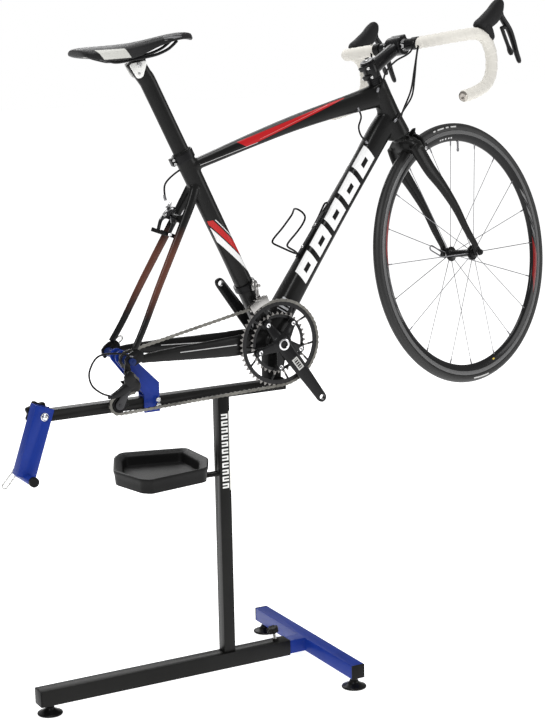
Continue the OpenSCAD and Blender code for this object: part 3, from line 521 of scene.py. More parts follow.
def turned(name, profile, place, n=48, axis="Y"):
    """A lathe-turned piece: profile is (distance along the axis, radius)."""
    rings = []
    for along, r in profile:
        r = max(r, 0.01)
        ring = []
        for k in range(n):
            w = 2 * math.pi * k / n
            u = r * math.cos(w)
            v = r * math.sin(w)
            ring.append(Vector({"X": (along, u, v), "Y": (u, along, v), "Z": (u, v, along)}[axis]))
        rings.append(ring)
    return piece(name, *skin(rings), place)


def hoop(name, profile, place, n=160):
    """A closed ring about Y: profile is a closed outline of (radius, y)."""
    rings = []
    for k in range(n):
        w = 2 * math.pi * k / n
        rings.append([Vector((r * math.cos(w), y, -r * math.sin(w))) for r, y in profile])
    return piece(name, *skin(rings, closed=True), place)


def block(name, size, at, place, bevel=1.0, segments=3, rot=None):
    """A machined block with rounded edges."""
    bpy.ops.mesh.primitive_cube_add(size=1)
    obj = bpy.context.active_object
    obj.name = name
    m = shift(at) @ (rot or Matrix.Identity(4)) @ Matrix.Diagonal(Vector(size).to_4d())
    m[3][3] = 1
    obj.data.transform(m)
    if bevel:
        modify(obj, "BEVEL", width=bevel, segments=segments, limit_method="NONE")
    bake(obj, place)
    return obj


def plate(name, outline, thick, place, bevel=0.4):
    """A flat plate cut to an outline in XZ, this thick along Y."""
    n = len(outline)
    verts = [Vector((x, -thick / 2, z)) for x, z in outline] + [Vector((x, thick / 2, z)) for x,
        z in outline]
    faces = [tuple(range(n)), tuple(range(n, 2 * n))[::-1]]
    faces += [(k, n + k, n + (k + 1) % n, (k + 1) % n) for k in range(n)]
    obj = piece(name, verts, faces, Matrix.Identity(4))
    if bevel:
        modify(obj, "BEVEL", width=bevel, segments=2, limit_method="ANGLE", angle_limit=rad(50))
    bake(obj, place)
    return obj


def soften(node, material, body, width=0.8, name=None, segments=2, merge=1e-5):
    """A made-up copy of a CAD node: joined faces and broken edges."""
    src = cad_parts[node]
    obj = bpy.data.objects.new(name or node + "_finish", src.data.copy())
    bpy.context.collection.objects.link(obj)
    bm = bmesh.new()
    bm.from_mesh(obj.data)
    bmesh.ops.remove_doubles(bm, verts=bm.verts, dist=merge)
    bmesh.ops.dissolve_limit(bm, angle_limit=rad(1.5), verts=bm.verts, edges=bm.edges)
    bm.to_mesh(obj.data)
    bm.free()
    if width:
        modify(obj, "BEVEL", width=width * MM, segments=segments, limit_method="ANGLE",
            angle_limit=rad(40))
    return dress(obj, material, body, [node])


def copy_of(obj, name, m):
    """Another of the same piece, moved by m, with a mesh of its own."""
    other = bpy.data.objects.new(name, obj.data.copy())
    bpy.context.collection.objects.link(other)
    other.data.transform(m)
    if m.determinant() < 0:
        outward(other)
    return other


MIRROR = Matrix.Diagonal((1, -1, 1, 1))


def mirrored(obj, name, place):
    """The piece's twin on the other side of a frame's middle plane."""
    return copy_of(obj, name, place @ MIRROR @ place.inverted())

# ---- stand ----

post_steel = black_steel.copy()
post_steel.name = "black powder coat with label"


def post_label(m):
    """Generic white marks down the post's near face, and a plain white strip beside them."""
    x, y, z = local(m, ROOM)
    near = y < -0.0145
    paint(m, both(near, band(x, 0.4915, 0.4960), band(z, 0.486, 0.686)), (0.80, 0.80, 0.76))
    height = z - 0.490
    cell = height % 0.0175
    turn_about = band(height % 0.035, 0.0175, 0.0350, 0.0001)
    mark = both(near, band(x, 0.4715, 0.4895), band(cell, 0.0022, 0.0150), band(height, 0.0, 0.192))
    slot = both(band(cell, 0.0064, 0.0108), either(both(turn_about, band(x, 0.4755, 0.4920)),
        both(1.0 - turn_about, band(x, 0.4690, 0.4855))))
    paint(m, minus(mark, slot), (0.82, 0.82, 0.80))


post_label(post_steel)
for node, material, width in (("base_beam", black_steel, 1.6), ("mast", post_steel, 1.4),
        ("crossbar", blue_steel, 1.6), ("rear_bracket", blue_steel, 1.0),
        ("fork_bracket", blue_steel, 0.8), ("tube_caps", plastic, 1.2), ("bb_cradle", plastic, 2.0),
        ("stand_axle", navy_steel, 0.6)):
    body = {"crossbar": "crossbar", "fork_bracket": "fork_bracket"}.get(node, "stand")
    soften(node, material, body, width)


def bell_foot(name, at, top, body, node):
    """A rubber foot: wide lip, hollow-sided bell, and a threaded stem up into the tube."""
    foot = turned(name, [(0, 0), (0, 27), (0.8, 30.4), (2.4, 31), (4.0, 30.2), (5.4, 27.5), (7.0, 23),
        (9.5, 18), (12.5, 13.8), (15.5, 11.4), (16.6, 11), (18.2, 10.6), (18.6, 8.2), (top, 8.2),
        (top, 0)], ROOM @ shift(at), 56, "Z")
    return dress(foot, rubber, body, node, smooth=50)


bell_foot("rear_foot_rubber", (0, 0, 0), 26, "stand", ["beam_foot"])
ends = []
for side in (-1, 1):
    ends.append(block("end_cap", (35.4, 4.4, 35.4), (711, side * 252, 46), ROOM, 1.4))
    ends.append(block("end_plug", (30.6, 12, 30.6), (711, side * 244, 46), ROOM, 0.6))
dress(join("crossbar_end_caps", ends), plastic, "crossbar")
for side, name in ((-1, "front_foot_right"), (1, "front_foot_left")):
    bell_foot(name, (711, side * 232, 0), 28.5, "crossbar", ["crossbar_ends"])


def knob_outline(r, lobes=7, points=84):
    out = []
    for k in range(points):
        w = 2 * math.pi * k / points
        out.append(r * (0.9 + 0.1 * math.cos(lobes * w)))
    return out


def lobed_knob(name, r, h, place):
    """A moulded hand knob, lobed, domed and hollowed a little in its face. It stands along Z."""
    prof = [(0, 0.55), (0.0, 0.88), (0.08, 0.97), (0.2, 1.0), (0.75, 1.0), (0.9, 0.95), (1.0, 0.84),
        (1.0, 0.55), (0.92, 0.4), (0.9, 0.0)]
    rings = []
    radii = knob_outline(r)
    for z, f in prof:
        ring = []
        for k, rr in enumerate(radii):
            w = 2 * math.pi * k / len(radii)
            lobed = f * (rr if f > 0.5 else r * 0.9)
            ring.append(Vector((max(lobed, 0.02) * math.cos(w), max(lobed, 0.02) * math.sin(w), z * h)))
        rings.append(ring)
    return piece(name, *skin(rings), place)


clamp_place = ROOM @ shift((618, 0, 66)) @ turn("Y", -14)
shank = turned("clamp_shank", [(-1, 3.4), (0, 4)] + [(z * 0.5, 4.0 - 0.25 * (z % 2))
    for z in range(2, 46)] + [(25, 4)], clamp_place, 24, "Z")
dress(shank, zinc, "beam_clamp")
grip = lobed_knob("clamp_knob", 15, 14, clamp_place @ shift((0, 0, 24)))
dress(grip, plastic, "beam_clamp", ["beam_clamp"], smooth=45)

knob_far = ROOM @ shift(PIVOT + Vector((0, 16.8, 0))) @ turn("X", -90)
dress(join("pivot_knob", [turned("collar", [(0, 9), (0, 11.6), (1, 12), (8, 12), (8.4, 11)], knob_far,
    40, "Z"), lobed_knob("grip", 30, 16, knob_far @ shift((0, 0, 8)))]), plastic, "bracket_knob",
    smooth=45)
near = ROOM @ shift(PIVOT + Vector((0, -16.8, 0))) @ turn("X", 90)
dress(turned("pivot_dome_nut", [(0, 0), (0, 9.6), (1.2, 9.6), (1.3, 8), (5.5, 7.9), (7, 6.9), (9, 5.2),
    (10.4, 2.9), (11, 0)], near, 40, "Z"), chrome, "bracket_knob", ["bracket_knob"], smooth=45)

# cross tube of the hanging bracket: a skewer with a black cap on the near side
hub = BRACKET @ shift((0, 0, -148))
dress(turned("bracket_hub_cap", [(-60, 0), (-60, 10.5), (-59, 11.8), (-51, 12), (-50, 11), (-50, 0)],
    hub, 40), plastic, "fork_bracket")
dress(turned("bracket_skewer_rod", [(-50, 0), (-50, 4.4), (53.5, 4.4), (53.5, 7.6), (50.4, 7.8),
    (50.3, 8), (54, 8), (55, 7), (55, 0)], hub, 32), zinc, "fork_bracket", ["bracket_skewer"])


def wire_lever(name, place, reach, body, node, metal=zinc):
    """A bent-wire quick-release lever: barrel, side washers and a long loop."""
    loop = [(4, 0, -6), (reach * 0.35, 0, -6.2), (reach * 0.7, 0, -6.4), (reach - 6, 0, -6.2),
        (reach - 1.6, 0, -4.2), (reach, 0, 0), (reach - 1.6, 0, 4.2), (reach - 6, 0, 6.2),
        (reach * 0.7, 0, 6.4), (reach * 0.35, 0, 6.2), (4, 0, 6)]
    parts = [wire("loop", loop, 2.0, place, 5, 12),
        turned("barrel", twice([(-7.5, 0), (-7.5, 4.6), (-6.9, 5.4), (-4.4, 5.5), (-4.2, 4.8)]), place,
        28, "Z")]
    return dress(join(name, parts), metal, body, [node], smooth=45)


wire_lever("bracket_release_lever", hub @ shift((0, 60.5, 0)) @ turn("Y", 113), 50, "bracket_lever",
    "bracket_lever")
wire_lever("axle_release_lever", AXLE @ shift((0, 78, 0)) @ turn("Y", -35), 52, "axle_lever",
    "axle_lever")
wire_lever("wheel_release_lever", WHEEL @ shift((0, 67, 0)) @ turn("Y", 217), 50, "wheel_lever",
    "wheel_lever", grey_alloy)

# tool tray: wide bevelled rim and deep well, without the tool holes of its rim
TRAY = [(283, 172), (444, 128), (444, 5), (402, -76), (240, -104), (222, -86), (198, 20), (250, 136)]


def rounded(points, r, share, per=5):
    """An outline with its corners rounded to about r, or to a share of a short side."""
    out = []
    n = len(points)
    for i in range(n):
        a, b, c = (Vector(points[(i + d) % n]) for d in (-1, 0, 1))
        cut = min(r, (b - a).length * share, (c - b).length * share)
        p0 = b + (a - b).normalized() * cut
        p1 = b + (c - b).normalized() * cut
        for k in range(per):
            t = k / (per - 1)
            out.append((1 - t) ** 2 * p0 + 2 * t * (1 - t) * b + t * t * p1)
    return out


def tray_ring(grow, z):
    """The tray's outline with rounded corners, grown outwards, at a height."""
    cx = sum(p[0] for p in TRAY) / len(TRAY)
    cy = sum(p[1] for p in TRAY) / len(TRAY)
    rings = []
    for q in rounded(TRAY, 14, 0.3):
        d = Vector((q.x - cx, q.y - cy))
        rings.append(Vector((q.x, q.y, z)) + Vector((d.x, d.y, 0)).normalized() * grow)
    return rings


steps = [(-7, 534), (-5.5, 533.4), (-4, 534), (-2.4, 548), (-1, 560), (0.6, 563), (0.8, 567),
    (0.2, 569.4), (-2, 570.2), (-5, 570), (-20, 563.5), (-22.5, 562), (-24, 559), (-26, 545),
    (-28, 541.4), (-31, 540.4), (-60, 540)]
verts, faces = skin([tray_ring(g, z) for g, z in steps])
tray = piece("tool_tray", verts, faces, ROOM)
dress(tray, plastic, "stand", ["tray"], smooth=40)

# ---- frame shell ----

carbon = finish("lacquered carbon", (0.0047, 0.0047, 0.0044), 0.34, coat=0.10, grain=700, bump=0.05,
    mottle=0.35)


def tube_stations(points):
    return [(x, 0, z, d, w) for x, z, d, w in points]


shell = [limb("top tube",
    tube_stations([(-134, 464, 13, 17), (-60, 475, 14.5, 17.5), (40, 490, 16.5, 18.5),
    (150, 504, 18.5, 19.5), (260, 513, 21, 20.5), (340, 517.5, 25, 21), (392, 521, 29, 22)]), BIKE, 6,
    32, 2.5),
    limb("down tube", tube_stations([(2, 22, 33, 32), (60, 85, 30, 30), (140, 170, 28.5, 27),
    (240, 275, 27.5, 25), (330, 368, 27.5, 24), (395, 436, 29, 23), (428, 462, 30, 22)]), BIKE, 6, 36,
    2.7),
    limb("seat tube", tube_stations([(0, 0, 27, 31), (-17, 57, 24, 28), (-40, 134, 22.5, 22),
    (-66, 224, 22, 18.5), (-100, 338, 22.5, 17.5), (-132, 447, 23.5, 17.5), (-149.5, 506, 24, 17.5)]),
    BIKE, 6, 32, 2.3), limb("head tube", [(*on_steer(370), 31, 29), (*on_steer(384), 30, 28),
    (*on_steer(420), 27, 25), (*on_steer(470), 25.5, 23.5), (*on_steer(503), 25, 23.5),
    (*on_steer(517), 25, 23.5)], BIKE, 6, 36, 2.0),
    turned("bb housing", twice([(-38, 0), (-38, 24), (-36.5, 26), (-30, 27.5)]), BIKE, 48),]
for side in (-1, 1):
    shell.append(limb("chainstay", sided(side, [(-10, 21, 6, 27, 8.5), (-60, 24.6, 14, 27, 7.8),
        (-112, 31, 21, 25.5, 7.8), (-190, 42, 35, 21.5, 8), (-268, 53, 50, 17.5, 7.5),
        (-330, 61, 61, 13.5, 6), (-372, 65, 67, 10.5, 4.5)]), BIKE, 6, 24, 2.6))
    shell.append(limb("seatstay", sided(side, [(-136, 12, 414, 13, 9), (-160, 22, 380, 12, 7.5),
        (-210, 33, 316, 10.5, 6.8), (-290, 48, 214, 9.5, 6.2), (-350, 59, 134, 9, 5.6),
        (-386, 65, 92, 9, 4.6)]), BIKE, 6, 20, 2.2))
shell.append(block("brake bridge", (18, 46, 18), (0, 0, 0), REAR_BRAKE, 4))
frame_shell = join("frame_shell", shell)
modify(frame_shell, "REMESH", mode="VOXEL", voxel_size=0.0026)
modify(frame_shell, "SMOOTH", factor=0.5, iterations=9)


def carbon_decals(m):
    """Generic stripes and blocks in the places a bicycle frame carries its graphics."""
    x, y, z = local(m, BIKE)
    beside = abs(y) > 0.0085
    # down tube: five slanted blocks, each cut by a slot
    ax = 0.093
    az = 0.132
    c = math.cos(rad(46.3))
    s = math.sin(rad(46.3))
    along = (x - ax) * c + (z - az) * s
    across = (z - az) * c - (x - ax) * s
    slant = along - across * 0.35
    cell = slant % 0.074
    inside = band(slant, 0.0, 0.370)
    tall = band(across, -0.0185, 0.0185)
    body_ = band(cell, 0.006, 0.067)
    cut = both(band(cell, 0.024, 0.048), band(across, -0.0060, 0.0060))
    blocks = both(beside, inside, tall, minus(body_, cut))
    paint(m, blocks, (0.86, 0.86, 0.86))
    # small silver bars by the bottom bracket
    d2 = (z - 0.07) * c - (x - 0.03) * s
    a2 = (x - 0.03) * c + (z - 0.07) * s
    bars = both(beside, band(d2, -0.012, 0.014), band(a2, 0.0, 0.034), fold(a2, 0.005) < 0.0026)
    paint(m, bars, (0.55, 0.56, 0.58))
    # top tube: a red flash that tapers forwards, and a fine silver line
    rise = z - (x * 0.118 + 0.4845)
    low = x * 0.082 - 0.0085
    high = x * 0.020 + 0.0125
    slant = x + rise * 1.2
    red = both(beside, rise > low, rise < high, band(slant, 0.006, 0.32, 0.001))
    paint(m, red, (0.42, 0.012, 0.015))
    white = both(beside, band(rise, -0.0070, -0.0054), band(x, -0.115, 0.045, 0.001))
    paint(m, white, (0.60, 0.60, 0.60))
    glint = both(beside, band(rise - low, 0.0036, 0.0046), band(x, 0.05, 0.25, 0.002))
    paint(m, glint, (0.75, 0.45, 0.43))
    # seat tube: a slanted white and red flash
    u = (x + 0.075) * 0.80 + (z - 0.255) * 0.60
    on_seat_tube = both(beside, band(z, 0.17, 0.33, 0.001), x < -0.035)
    paint(m, both(on_seat_tube, band(u, -0.010, 0.004)), (0.78, 0.78, 0.78))
    paint(m, both(on_seat_tube, band(u, 0.006, 0.020)), (0.45, 0.02, 0.02))
    paint(m, both(on_seat_tube, band(u, 0.0230, 0.0258)), (0.70, 0.70, 0.70))
    # chainstay: a fine silver line along its side
    mid = z - (x * -0.185 + 0.004)
    stay = both(band(x, -0.27, -0.11, 0.001), band(mid, -0.0012, 0.0012), abs(y) > 0.03)
    paint(m, stay, (0.55, 0.55, 0.55))
    # seatstays: a bronze-red tint in their upper half
    tint = both(band(z, 0.15, 0.34, 0.06), x < -0.19)
    paint(m, tint * 0.6, (0.16, 0.055, 0.035))


def weave(m, strength=0.5):
    """A faint cross-laid ply under the lacquer."""
    x, y, z = local(m, BIKE)
    lay = maths("SINE", (x + z) * 1900) * maths("SINE", (x - z) * 1900)
    paint(m, (lay > 0.0) * strength, (0.014, 0.014, 0.0145))


weave(carbon)
plain_carbon = carbon.copy()
plain_carbon.name = "lacquered carbon, plain"
carbon_decals(carbon)
dress(frame_shell, carbon, "stand", ["head_tube", "top_tube", "down_tube", "seat_tube", "bb_shell",
    "chainstays", "seatstays"], smooth=0)
all_smooth(frame_shell)

# rear dropouts and the mech hanger
drops = []
for side in (-1, 1):
    outline = [(REAR_X + 34, 80), (REAR_X + 30, 62), (REAR_X + 15, 60), (REAR_X + 6, 57),
        (REAR_X + 5, 68)]
    outline += [(REAR_X + 5 * math.cos(rad(w)), 70 + 5 * math.sin(rad(w))) for w in range(0, 181, 20)]
    outline += [(REAR_X - 5, 58), (REAR_X - 12, 56), (REAR_X - 16, 66), (REAR_X - 15, 78),
        (REAR_X - 6, 86), (REAR_X + 6, 92), (REAR_X + 16, 94), (REAR_X + 28, 90)]
    drops.append(plate("dropout", outline, 6, BIKE @ shift((0, side * 68, 0)), 0.8))
hanger = [(REAR_X - 6, 62), (REAR_X - 5, 52), (REAR_X - 6, 42), (REAR_X - 9, 36), (REAR_X - 16, 35),
    (REAR_X - 22, 39), (REAR_X - 23, 46), (REAR_X - 20, 54), (REAR_X - 17, 64), (REAR_X - 14, 72)]
drops.append(plate("hanger", hanger, 5.4, BIKE @ shift((0, -68, 0)), 0.8))
dress(join("dropouts", drops), black_alloy, "stand")

# ---- seatpost and saddle ----


def on_seat(d, x=0.0, y=0.0):
    """A point d up the seat tube, x behind (-) or ahead (+) of it and y to its side."""
    across = Vector((math.sin(rad(SEAT)), 0, math.cos(rad(SEAT))))
    return d * SEAT_DIR + x * across + Vector((0, y, 0))


SADDLE = Vector((-222, 0, 728))
post_path = [(*on_seat(d), 20, 12) for d in (395, 470, 506, 560, 620, 680, 712)]
post_path += [(*on_seat(728), 17.5, 11.6), (*on_seat(741), 12, 11)]
post = limb("post shaft", post_path, BIKE, 4, 36, 2.4)
head = turned("post head", twice([(-14, 0), (-14, 11.4), (-12.8, 12.8), (-4, 13)]),
    BIKE @ shift(SADDLE + Vector((0, 0, -10))), 36)
neck = limb("post neck", [(*on_seat(690), 19.4, 11.8), (*on_seat(706), 19.6, 12.2),
    (-217, 0, 712, 21, 12.8), (-221, 0, 724, 24, 13), (-223, 0, 731, 25, 13), (-223.6, 0, 733, 22, 12)],
    BIKE, 5, 28, 2.6)
seatpost = join("seatpost_shaft", [post, head, neck])
dress(seatpost, plain_carbon, "seatpost", ["seatpost"])


CHEEK = [(p.x, p.y) for p in rounded([(23, 1), (-25, 1), (-10, -36), (4, -35)], 9, 0.45)]
cheeks = []
studs = []
for side in (-1, 1):
    at = BIKE @ shift(SADDLE + Vector((0, side * 15, 0)))
    cheeks.append(plate("cheek", CHEEK, 4, at, 0.8))
    studs.append(turned("washer", faced(side, [(0, 0), (0, 6.6), (1.0, 6.4), (1.6, 5.8), (1.7, 0)]),
        BIKE @ shift(SADDLE + Vector((0, side * 17, -5))), 28))
    studs.append(turned("bolt head", faced(side, [(0, 0), (0, 4.2), (2.6, 4.2), (3.2, 3.4), (3.2, 2.2),
        (1.6, 2.0), (1.6, 0)]), BIKE @ shift(SADDLE + Vector((0, side * 18.4, -5))), 24))
    studs.append(turned("lower bolt", faced(side, [(0, 0), (0, 3.2), (1.8, 3.0), (2.0, 1.6), (1.0, 1.4),
        (1, 0)]), BIKE @ shift(SADDLE + Vector((-4, side * 17, -25))), 20))
dress(join("saddle_clamp_cheeks", cheeks), white_alloy, "seatpost")
dress(join("saddle_clamp_bolts", studs), steel, "seatpost")

collar = limb("seat_collar", [(*on_seat(503.6), 26.2, 19.7), (*on_seat(505), 26.6, 20.1),
    (*on_seat(512), 26.6, 20.1), (*on_seat(523), 26.6, 20.1), (*on_seat(524.4), 26.0, 19.6)], BIKE, 2,
    40, 2.3)
ear = block("collar ear", (13, 17, 20), (0, 0, 0), BIKE @ shift(on_seat(514, -29)) @ turn("Y",
    SEAT - 90), 2.4)
dress(join("seat_collar", [collar, ear]), black_alloy, "stand", ["seat_clamp"])
screws = []
for d in (509, 519):
    for side in (-1, 1):
        screws.append(turned("collar screw",
            faced(side, [(0, 0), (0, 3.6), (2.2, 3.6), (2.8, 3.0), (2.8, 1.9), (1.2, 1.8), (1.2, 0)]),
            BIKE @ shift(on_seat(d, -30, side * 8.3)), 20))
# dome bolts through the bracket's foot, and the bolts of the rear brake and rear mech
for z in (727, 740):
    for side in (-1, 1):
        screws.append(turned("dome bolt",
            faced(side, [(0, 0), (0, 5.9), (0.8, 5.9), (0.9, 5.2), (2.6, 4.6), (3.8, 3.1), (4.3, 1.2),
            (4.4, 0)]), ROOM @ shift((302, side * 24.8, z)), 32))
screws.append(turned("brake pivot bolt", [(-36, 0), (-36, 3.4), (-35, 5.2), (-31, 5.4), (-31, 3),
    (14, 3), (14, 0)], REAR_BRAKE, 24, "X"))
screws.append(turned("mech bolt", [(-86.4, 0), (-86.4, 2.6), (-84.6, 2.8), (-84.6, 4.6), (-86.2, 5.2),
    (-86.4, 7.2), (-84.8, 8.4), (-80, 8.6), (-80, 4), (-60, 4), (-60, 0)],
    BIKE @ shift((REAR_X - 14, 0, 43)), 36))
dress(join("frame_bolts", screws), steel, "stand", ["bolts"])

ribs = [(-73, 9, 765, 8), (-77, 13, 767.4, 11), (-88, 16.4, 771.6, 14), (-104, 19.4, 774.4, 15),
    (-130, 22, 775.2, 16), (-160, 24.4, 774.2, 18), (-190, 28, 773, 24), (-220, 35, 772.6, 30),
    (-250, 47, 774, 33), (-280, 59, 777, 33), (-308, 66.5, 780.4, 31), (-335, 69, 783.6, 27),
    (-352, 64, 784.6, 21), (-361, 54, 784.2, 15), (-365, 44, 783.4, 11)]
rings = []
for x, half, top, side_depth in ribs:
    ring = []
    n = 40
    for k in range(n):
        w = 2 * math.pi * k / n
        u = math.cos(w)
        v = math.sin(w)
        y = half * math.copysign(abs(u) ** 0.78, u)
        if v >= 0:
            z = top - 9 + 9 * abs(v) ** 0.6 - 2.2 * math.exp(-(y / 7.0) ** 2) * (1
                if -330 < x < -95 else 0.2)
            z -= 5.0 * (abs(y) / half) ** 3
        else:
            flare = abs(u) ** 1.3
            z = top - 14 - (side_depth - 14) * flare * min(1, abs(v) * 3 + 0.2) - 3 * abs(v)
        ring.append(Vector((x, y, z)))
    rings.append(ring)
verts, faces = skin(rings)
cover = piece("saddle_cover", verts, faces, BIKE)
modify(cover, "SUBSURF", levels=2, render_levels=2)
saddle_skin = finish("saddle cover", (0.0099, 0.0099, 0.0105), 0.5, grain=1500, bump=0.35, sheen=0.08)
x, y, z = local(saddle_skin, BIKE)
upper = z > 0.7635
wing_edge = 0.011 + (-0.110 - x) * 0.105
height = z + (x + 0.30) * 0.14
wing = both(band(x + z * 0.6, 0.128, 0.198, 0.0015), abs(y) > 0.022,
    band(height, 0.7520, 0.7745, 0.001))
paint(saddle_skin, wing, (0.55, 0.55, 0.52))
nose = both(band(x, -0.152, -0.104, 0.0012), abs(y) > 0.0115, upper, fold(y, 0.002) < 0.0013)
paint(saddle_skin, nose, (0.17, 0.17, 0.175))
seam = band(abs(y) - wing_edge, 0.004, 0.0052, 0.0004)
paint(saddle_skin, both(seam, upper, band(x, -0.34, -0.10, 0.002)), (0.05, 0.05, 0.052))
dress(cover, saddle_skin, "saddle", ["saddle"], smooth=0)
all_smooth(cover)

rail = [(-118, 16, 757), (-134, 18, 748), (-150, 20, 742), (-180, 22, 737), (-222, 22, 737),
    (-262, 22, 738), (-280, 22.4, 740), (-292, 23, 744), (-318, 26, 756), (-332, 28, 766)]
rails = [wire("rail", [(x, side * y, z) for x, y, z in rail], 3.5, BIKE, 6, 16) for side in (-1, 1)]
dress(join("saddle_rails_finish", rails), gloss_black, "saddle", ["saddle_rails"])
yoke = [block("rail clamp", (34, 50, 8.4), (-222, 0, 738), BIKE, 2.2),
    block("rail clamp cap", (26, 52, 3), (-222, 0, 743), BIKE, 1.2),
    turned("clamp pin", rod(-14, 14, 3.9), BIKE @ shift(SADDLE), 24)]
dress(join("saddle_clamp_yoke", yoke), black_alloy, "saddle")

# ---- fork, stem and bar ----

fork_parts = [limb("steerer", [(*on_steer(360), 19, 19), (*on_steer(372), 15.5, 15.5),
    (*on_steer(388), 14.3, 14.3), (*on_steer(480), 14.3, 14.3), (*on_steer(572), 14.3, 14.3)], FORK, 3,
    28), limb("crown", [(462, -40, 366, 17, 14), (460, -24, 380, 21, 17), (457, 0, 387, 23, 20),
    (460, 24, 380, 21, 17), (462, 40, 366, 17, 14)], FORK, 5, 28, 2.2, Vector((1, 0, 0))),]
for side in (-1, 1):
    blade = sided(side, [(455, 36, 384, 21, 11), (466, 41, 352, 21, 9.5), (484, 45, 310, 19.5, 8.8),
        (513, 48.5, 262, 16, 8), (545, 50.5, 200, 12.5, 7.2), (566, 52, 142, 10.5, 6.6),
        (FRONT_HUB.x - 7, 53.5, 96, 9, 6), (FRONT_HUB.x - 2, 54, 84, 9, 5)])
    fork_parts.append(limb("blade", blade, FORK, 6, 24, 2.3))
fork_body = join("fork_blades", fork_parts)
modify(fork_body, "REMESH", mode="VOXEL", voxel_size=0.0022)
modify(fork_body, "SMOOTH", factor=0.5, iterations=5)
dress(fork_body, plain_carbon, "fork", ["fork"], smooth=0)
all_smooth(fork_body)
tips = []
for side in (-1, 1):
    fx = FRONT_HUB.x
    shape = [(fx - 15, 92), (fx - 13, 76), (fx - 11, 64), (fx - 5.4, 60)]
    shape += [(fx - 5 * math.cos(rad(w)), 70 + 5 * math.sin(rad(w))) for w in range(0, 181, 20)]
    shape += [(fx + 5.4, 60), (fx + 11, 65), (fx + 11, 77), (fx + 5, 86), (fx - 2, 95)]
    tips.append(plate("fork tip", shape, 6, FORK @ shift((0, side * 53, 0)), 0.8))
tips.append(turned("brake hinge bolt", [(-22, 0), (-22, 3), (14, 3), (14, 5.4), (17.5, 5.2),
    (18.5, 4.2), (18.5, 2.4), (17, 2.2), (17, 0)], FRONT_BRAKE, 24, "X"))
dress(join("fork_tips", tips), black_alloy, "fork")

STEEP = turn("Y", HEAD - 90)
at = FORK @ shift(STEER_FOOT) @ STEEP
spacers = []
low = 517.4
h = 5
for _ in range(3):
    spacers.append(turned("spacer", [(low, 14.5), (low, 18.2), (low + 0.5, 18.9), (low + h - 0.5, 18.9),
        (low + h, 18.2), (low + h, 14.5)], at, 40, "Z"))
    low += h + 0.05
dress(join("stem_spacers", spacers), black_alloy, "fork")
stem_clamp = turned("steerer clamp", [(533, 14.4), (533, 18.4), (534.4, 19.2), (552, 19.6),
    (571.6, 19.2), (573, 18.4), (573, 14.4)], at, 44, "Z")
to_bar = BAR - on_steer(553)
reach = limb("extension", [(*(on_steer(553) + to_bar * t), d, w) for t, d,
    w in ((0.05, 18.5, 19), (0.2, 17.6, 17.6), (0.5, 16, 16.4), (0.75, 15.6, 17.4), (0.92, 17, 20))],
    FORK, 5, 32, 2.3)
mouth = turned("bar clamp", twice([(-23, 16), (-23, 21.8), (-21.6, 23), (-8, 23.4)]), FORK @ shift(BAR),
    48)
stem_parts = [stem_clamp, reach, mouth]
for z in (541, 565):
    stem_parts.append(block("clamp ear", (9, 26, 13), (-19, 0, z), at, 2))
stem_metal = finish("stem lacquer", (0.0066, 0.0066, 0.0072), 0.30, coat=0.15, grain=600, bump=0.05)
dress(join("stem_finish", stem_parts), stem_metal, "fork", ["stem"])
split = FORK @ shift(BAR) @ turn("Y", -18)
stem_bolts = []
for side in (-1, 1):
    for z in (-15, 15):
        stem_bolts.append(turned("face bolt", [(14, 0), (14, 4), (20, 4), (21, 3.4), (21, 2.2), (19, 2),
            (19, 0)], split @ shift((0, side * 15.5, z)), 20, "X"))
for z in (541, 565):
    for side in (-1, 1):
        stem_bolts.append(turned("ear bolt",
            faced(side, [(0, 0), (0, 3.8), (2.6, 3.8), (3.2, 3.2), (3.2, 2), (1.5, 1.8), (1.5, 0)]),
            at @ shift((-20, side * 12.6, z)), 20))
dress(join("stem_bolts", stem_bolts), steel, "fork")
face = []
for z in (-15, 15):
    face.append(block("face plate lug", (13, 45, 11), (15, 0, z), split, 2.6))
cap = turned("top cap", [(573.6, 0), (573.6, 17.2), (574.6, 18), (576.6, 17.8), (577.8, 16.4), (578, 9),
    (577.2, 6), (576.6, 0)], at, 40, "Z")
cap_bolt = turned("cap_bolt", [(576, 0), (576, 4), (578.6, 4), (579.2, 3.2), (579.2, 2), (577.6, 1.9),
    (577.6, 0)], at, 20, "Z")
dress(join("stem_face_and_cap", face + [cap]), stem_metal, "fork")
dress(cap_bolt, steel, "fork")

BAR_LINE = [(0, 0, 0), (0, -60, 0), (0, -125, 0), (4, -165, 0), (26, -194, -2), (56, -205, -6),
    (80, -208, -18), (94, -208, -42), (94, -209, -74), (78, -211, -108), (48, -214, -130),
    (10, -216, -138), (-24, -217, -140), (-48, -217, -140)]


bars = []
for side in (-1, 1):
    pts = [BAR + Vector((x, (y if side < 0 else -y), z)) for x, y, z in BAR_LINE]
    bars.append(wire("bar half", pts, lambda t: 15.9 if t < 0.03 else 11.9 + 4.0 * max(0,
        1 - (t - 0.03) / 0.05), FORK, 8, 20))
bar_metal = finish("bar finish", (0.0077, 0.0077, 0.0083), 0.28, 0.2, coat=0.12, grain=600, bump=0.05)
x, y, z = local(bar_metal, FORK)
ticks = both(band(abs(y), 0.024, 0.034), fold(x, 0.0014) < 0.0005)
paint(bar_metal, ticks, (0.5, 0.5, 0.5))
dress(join("handlebar_finish", bars), bar_metal, "fork", ["handlebar"])

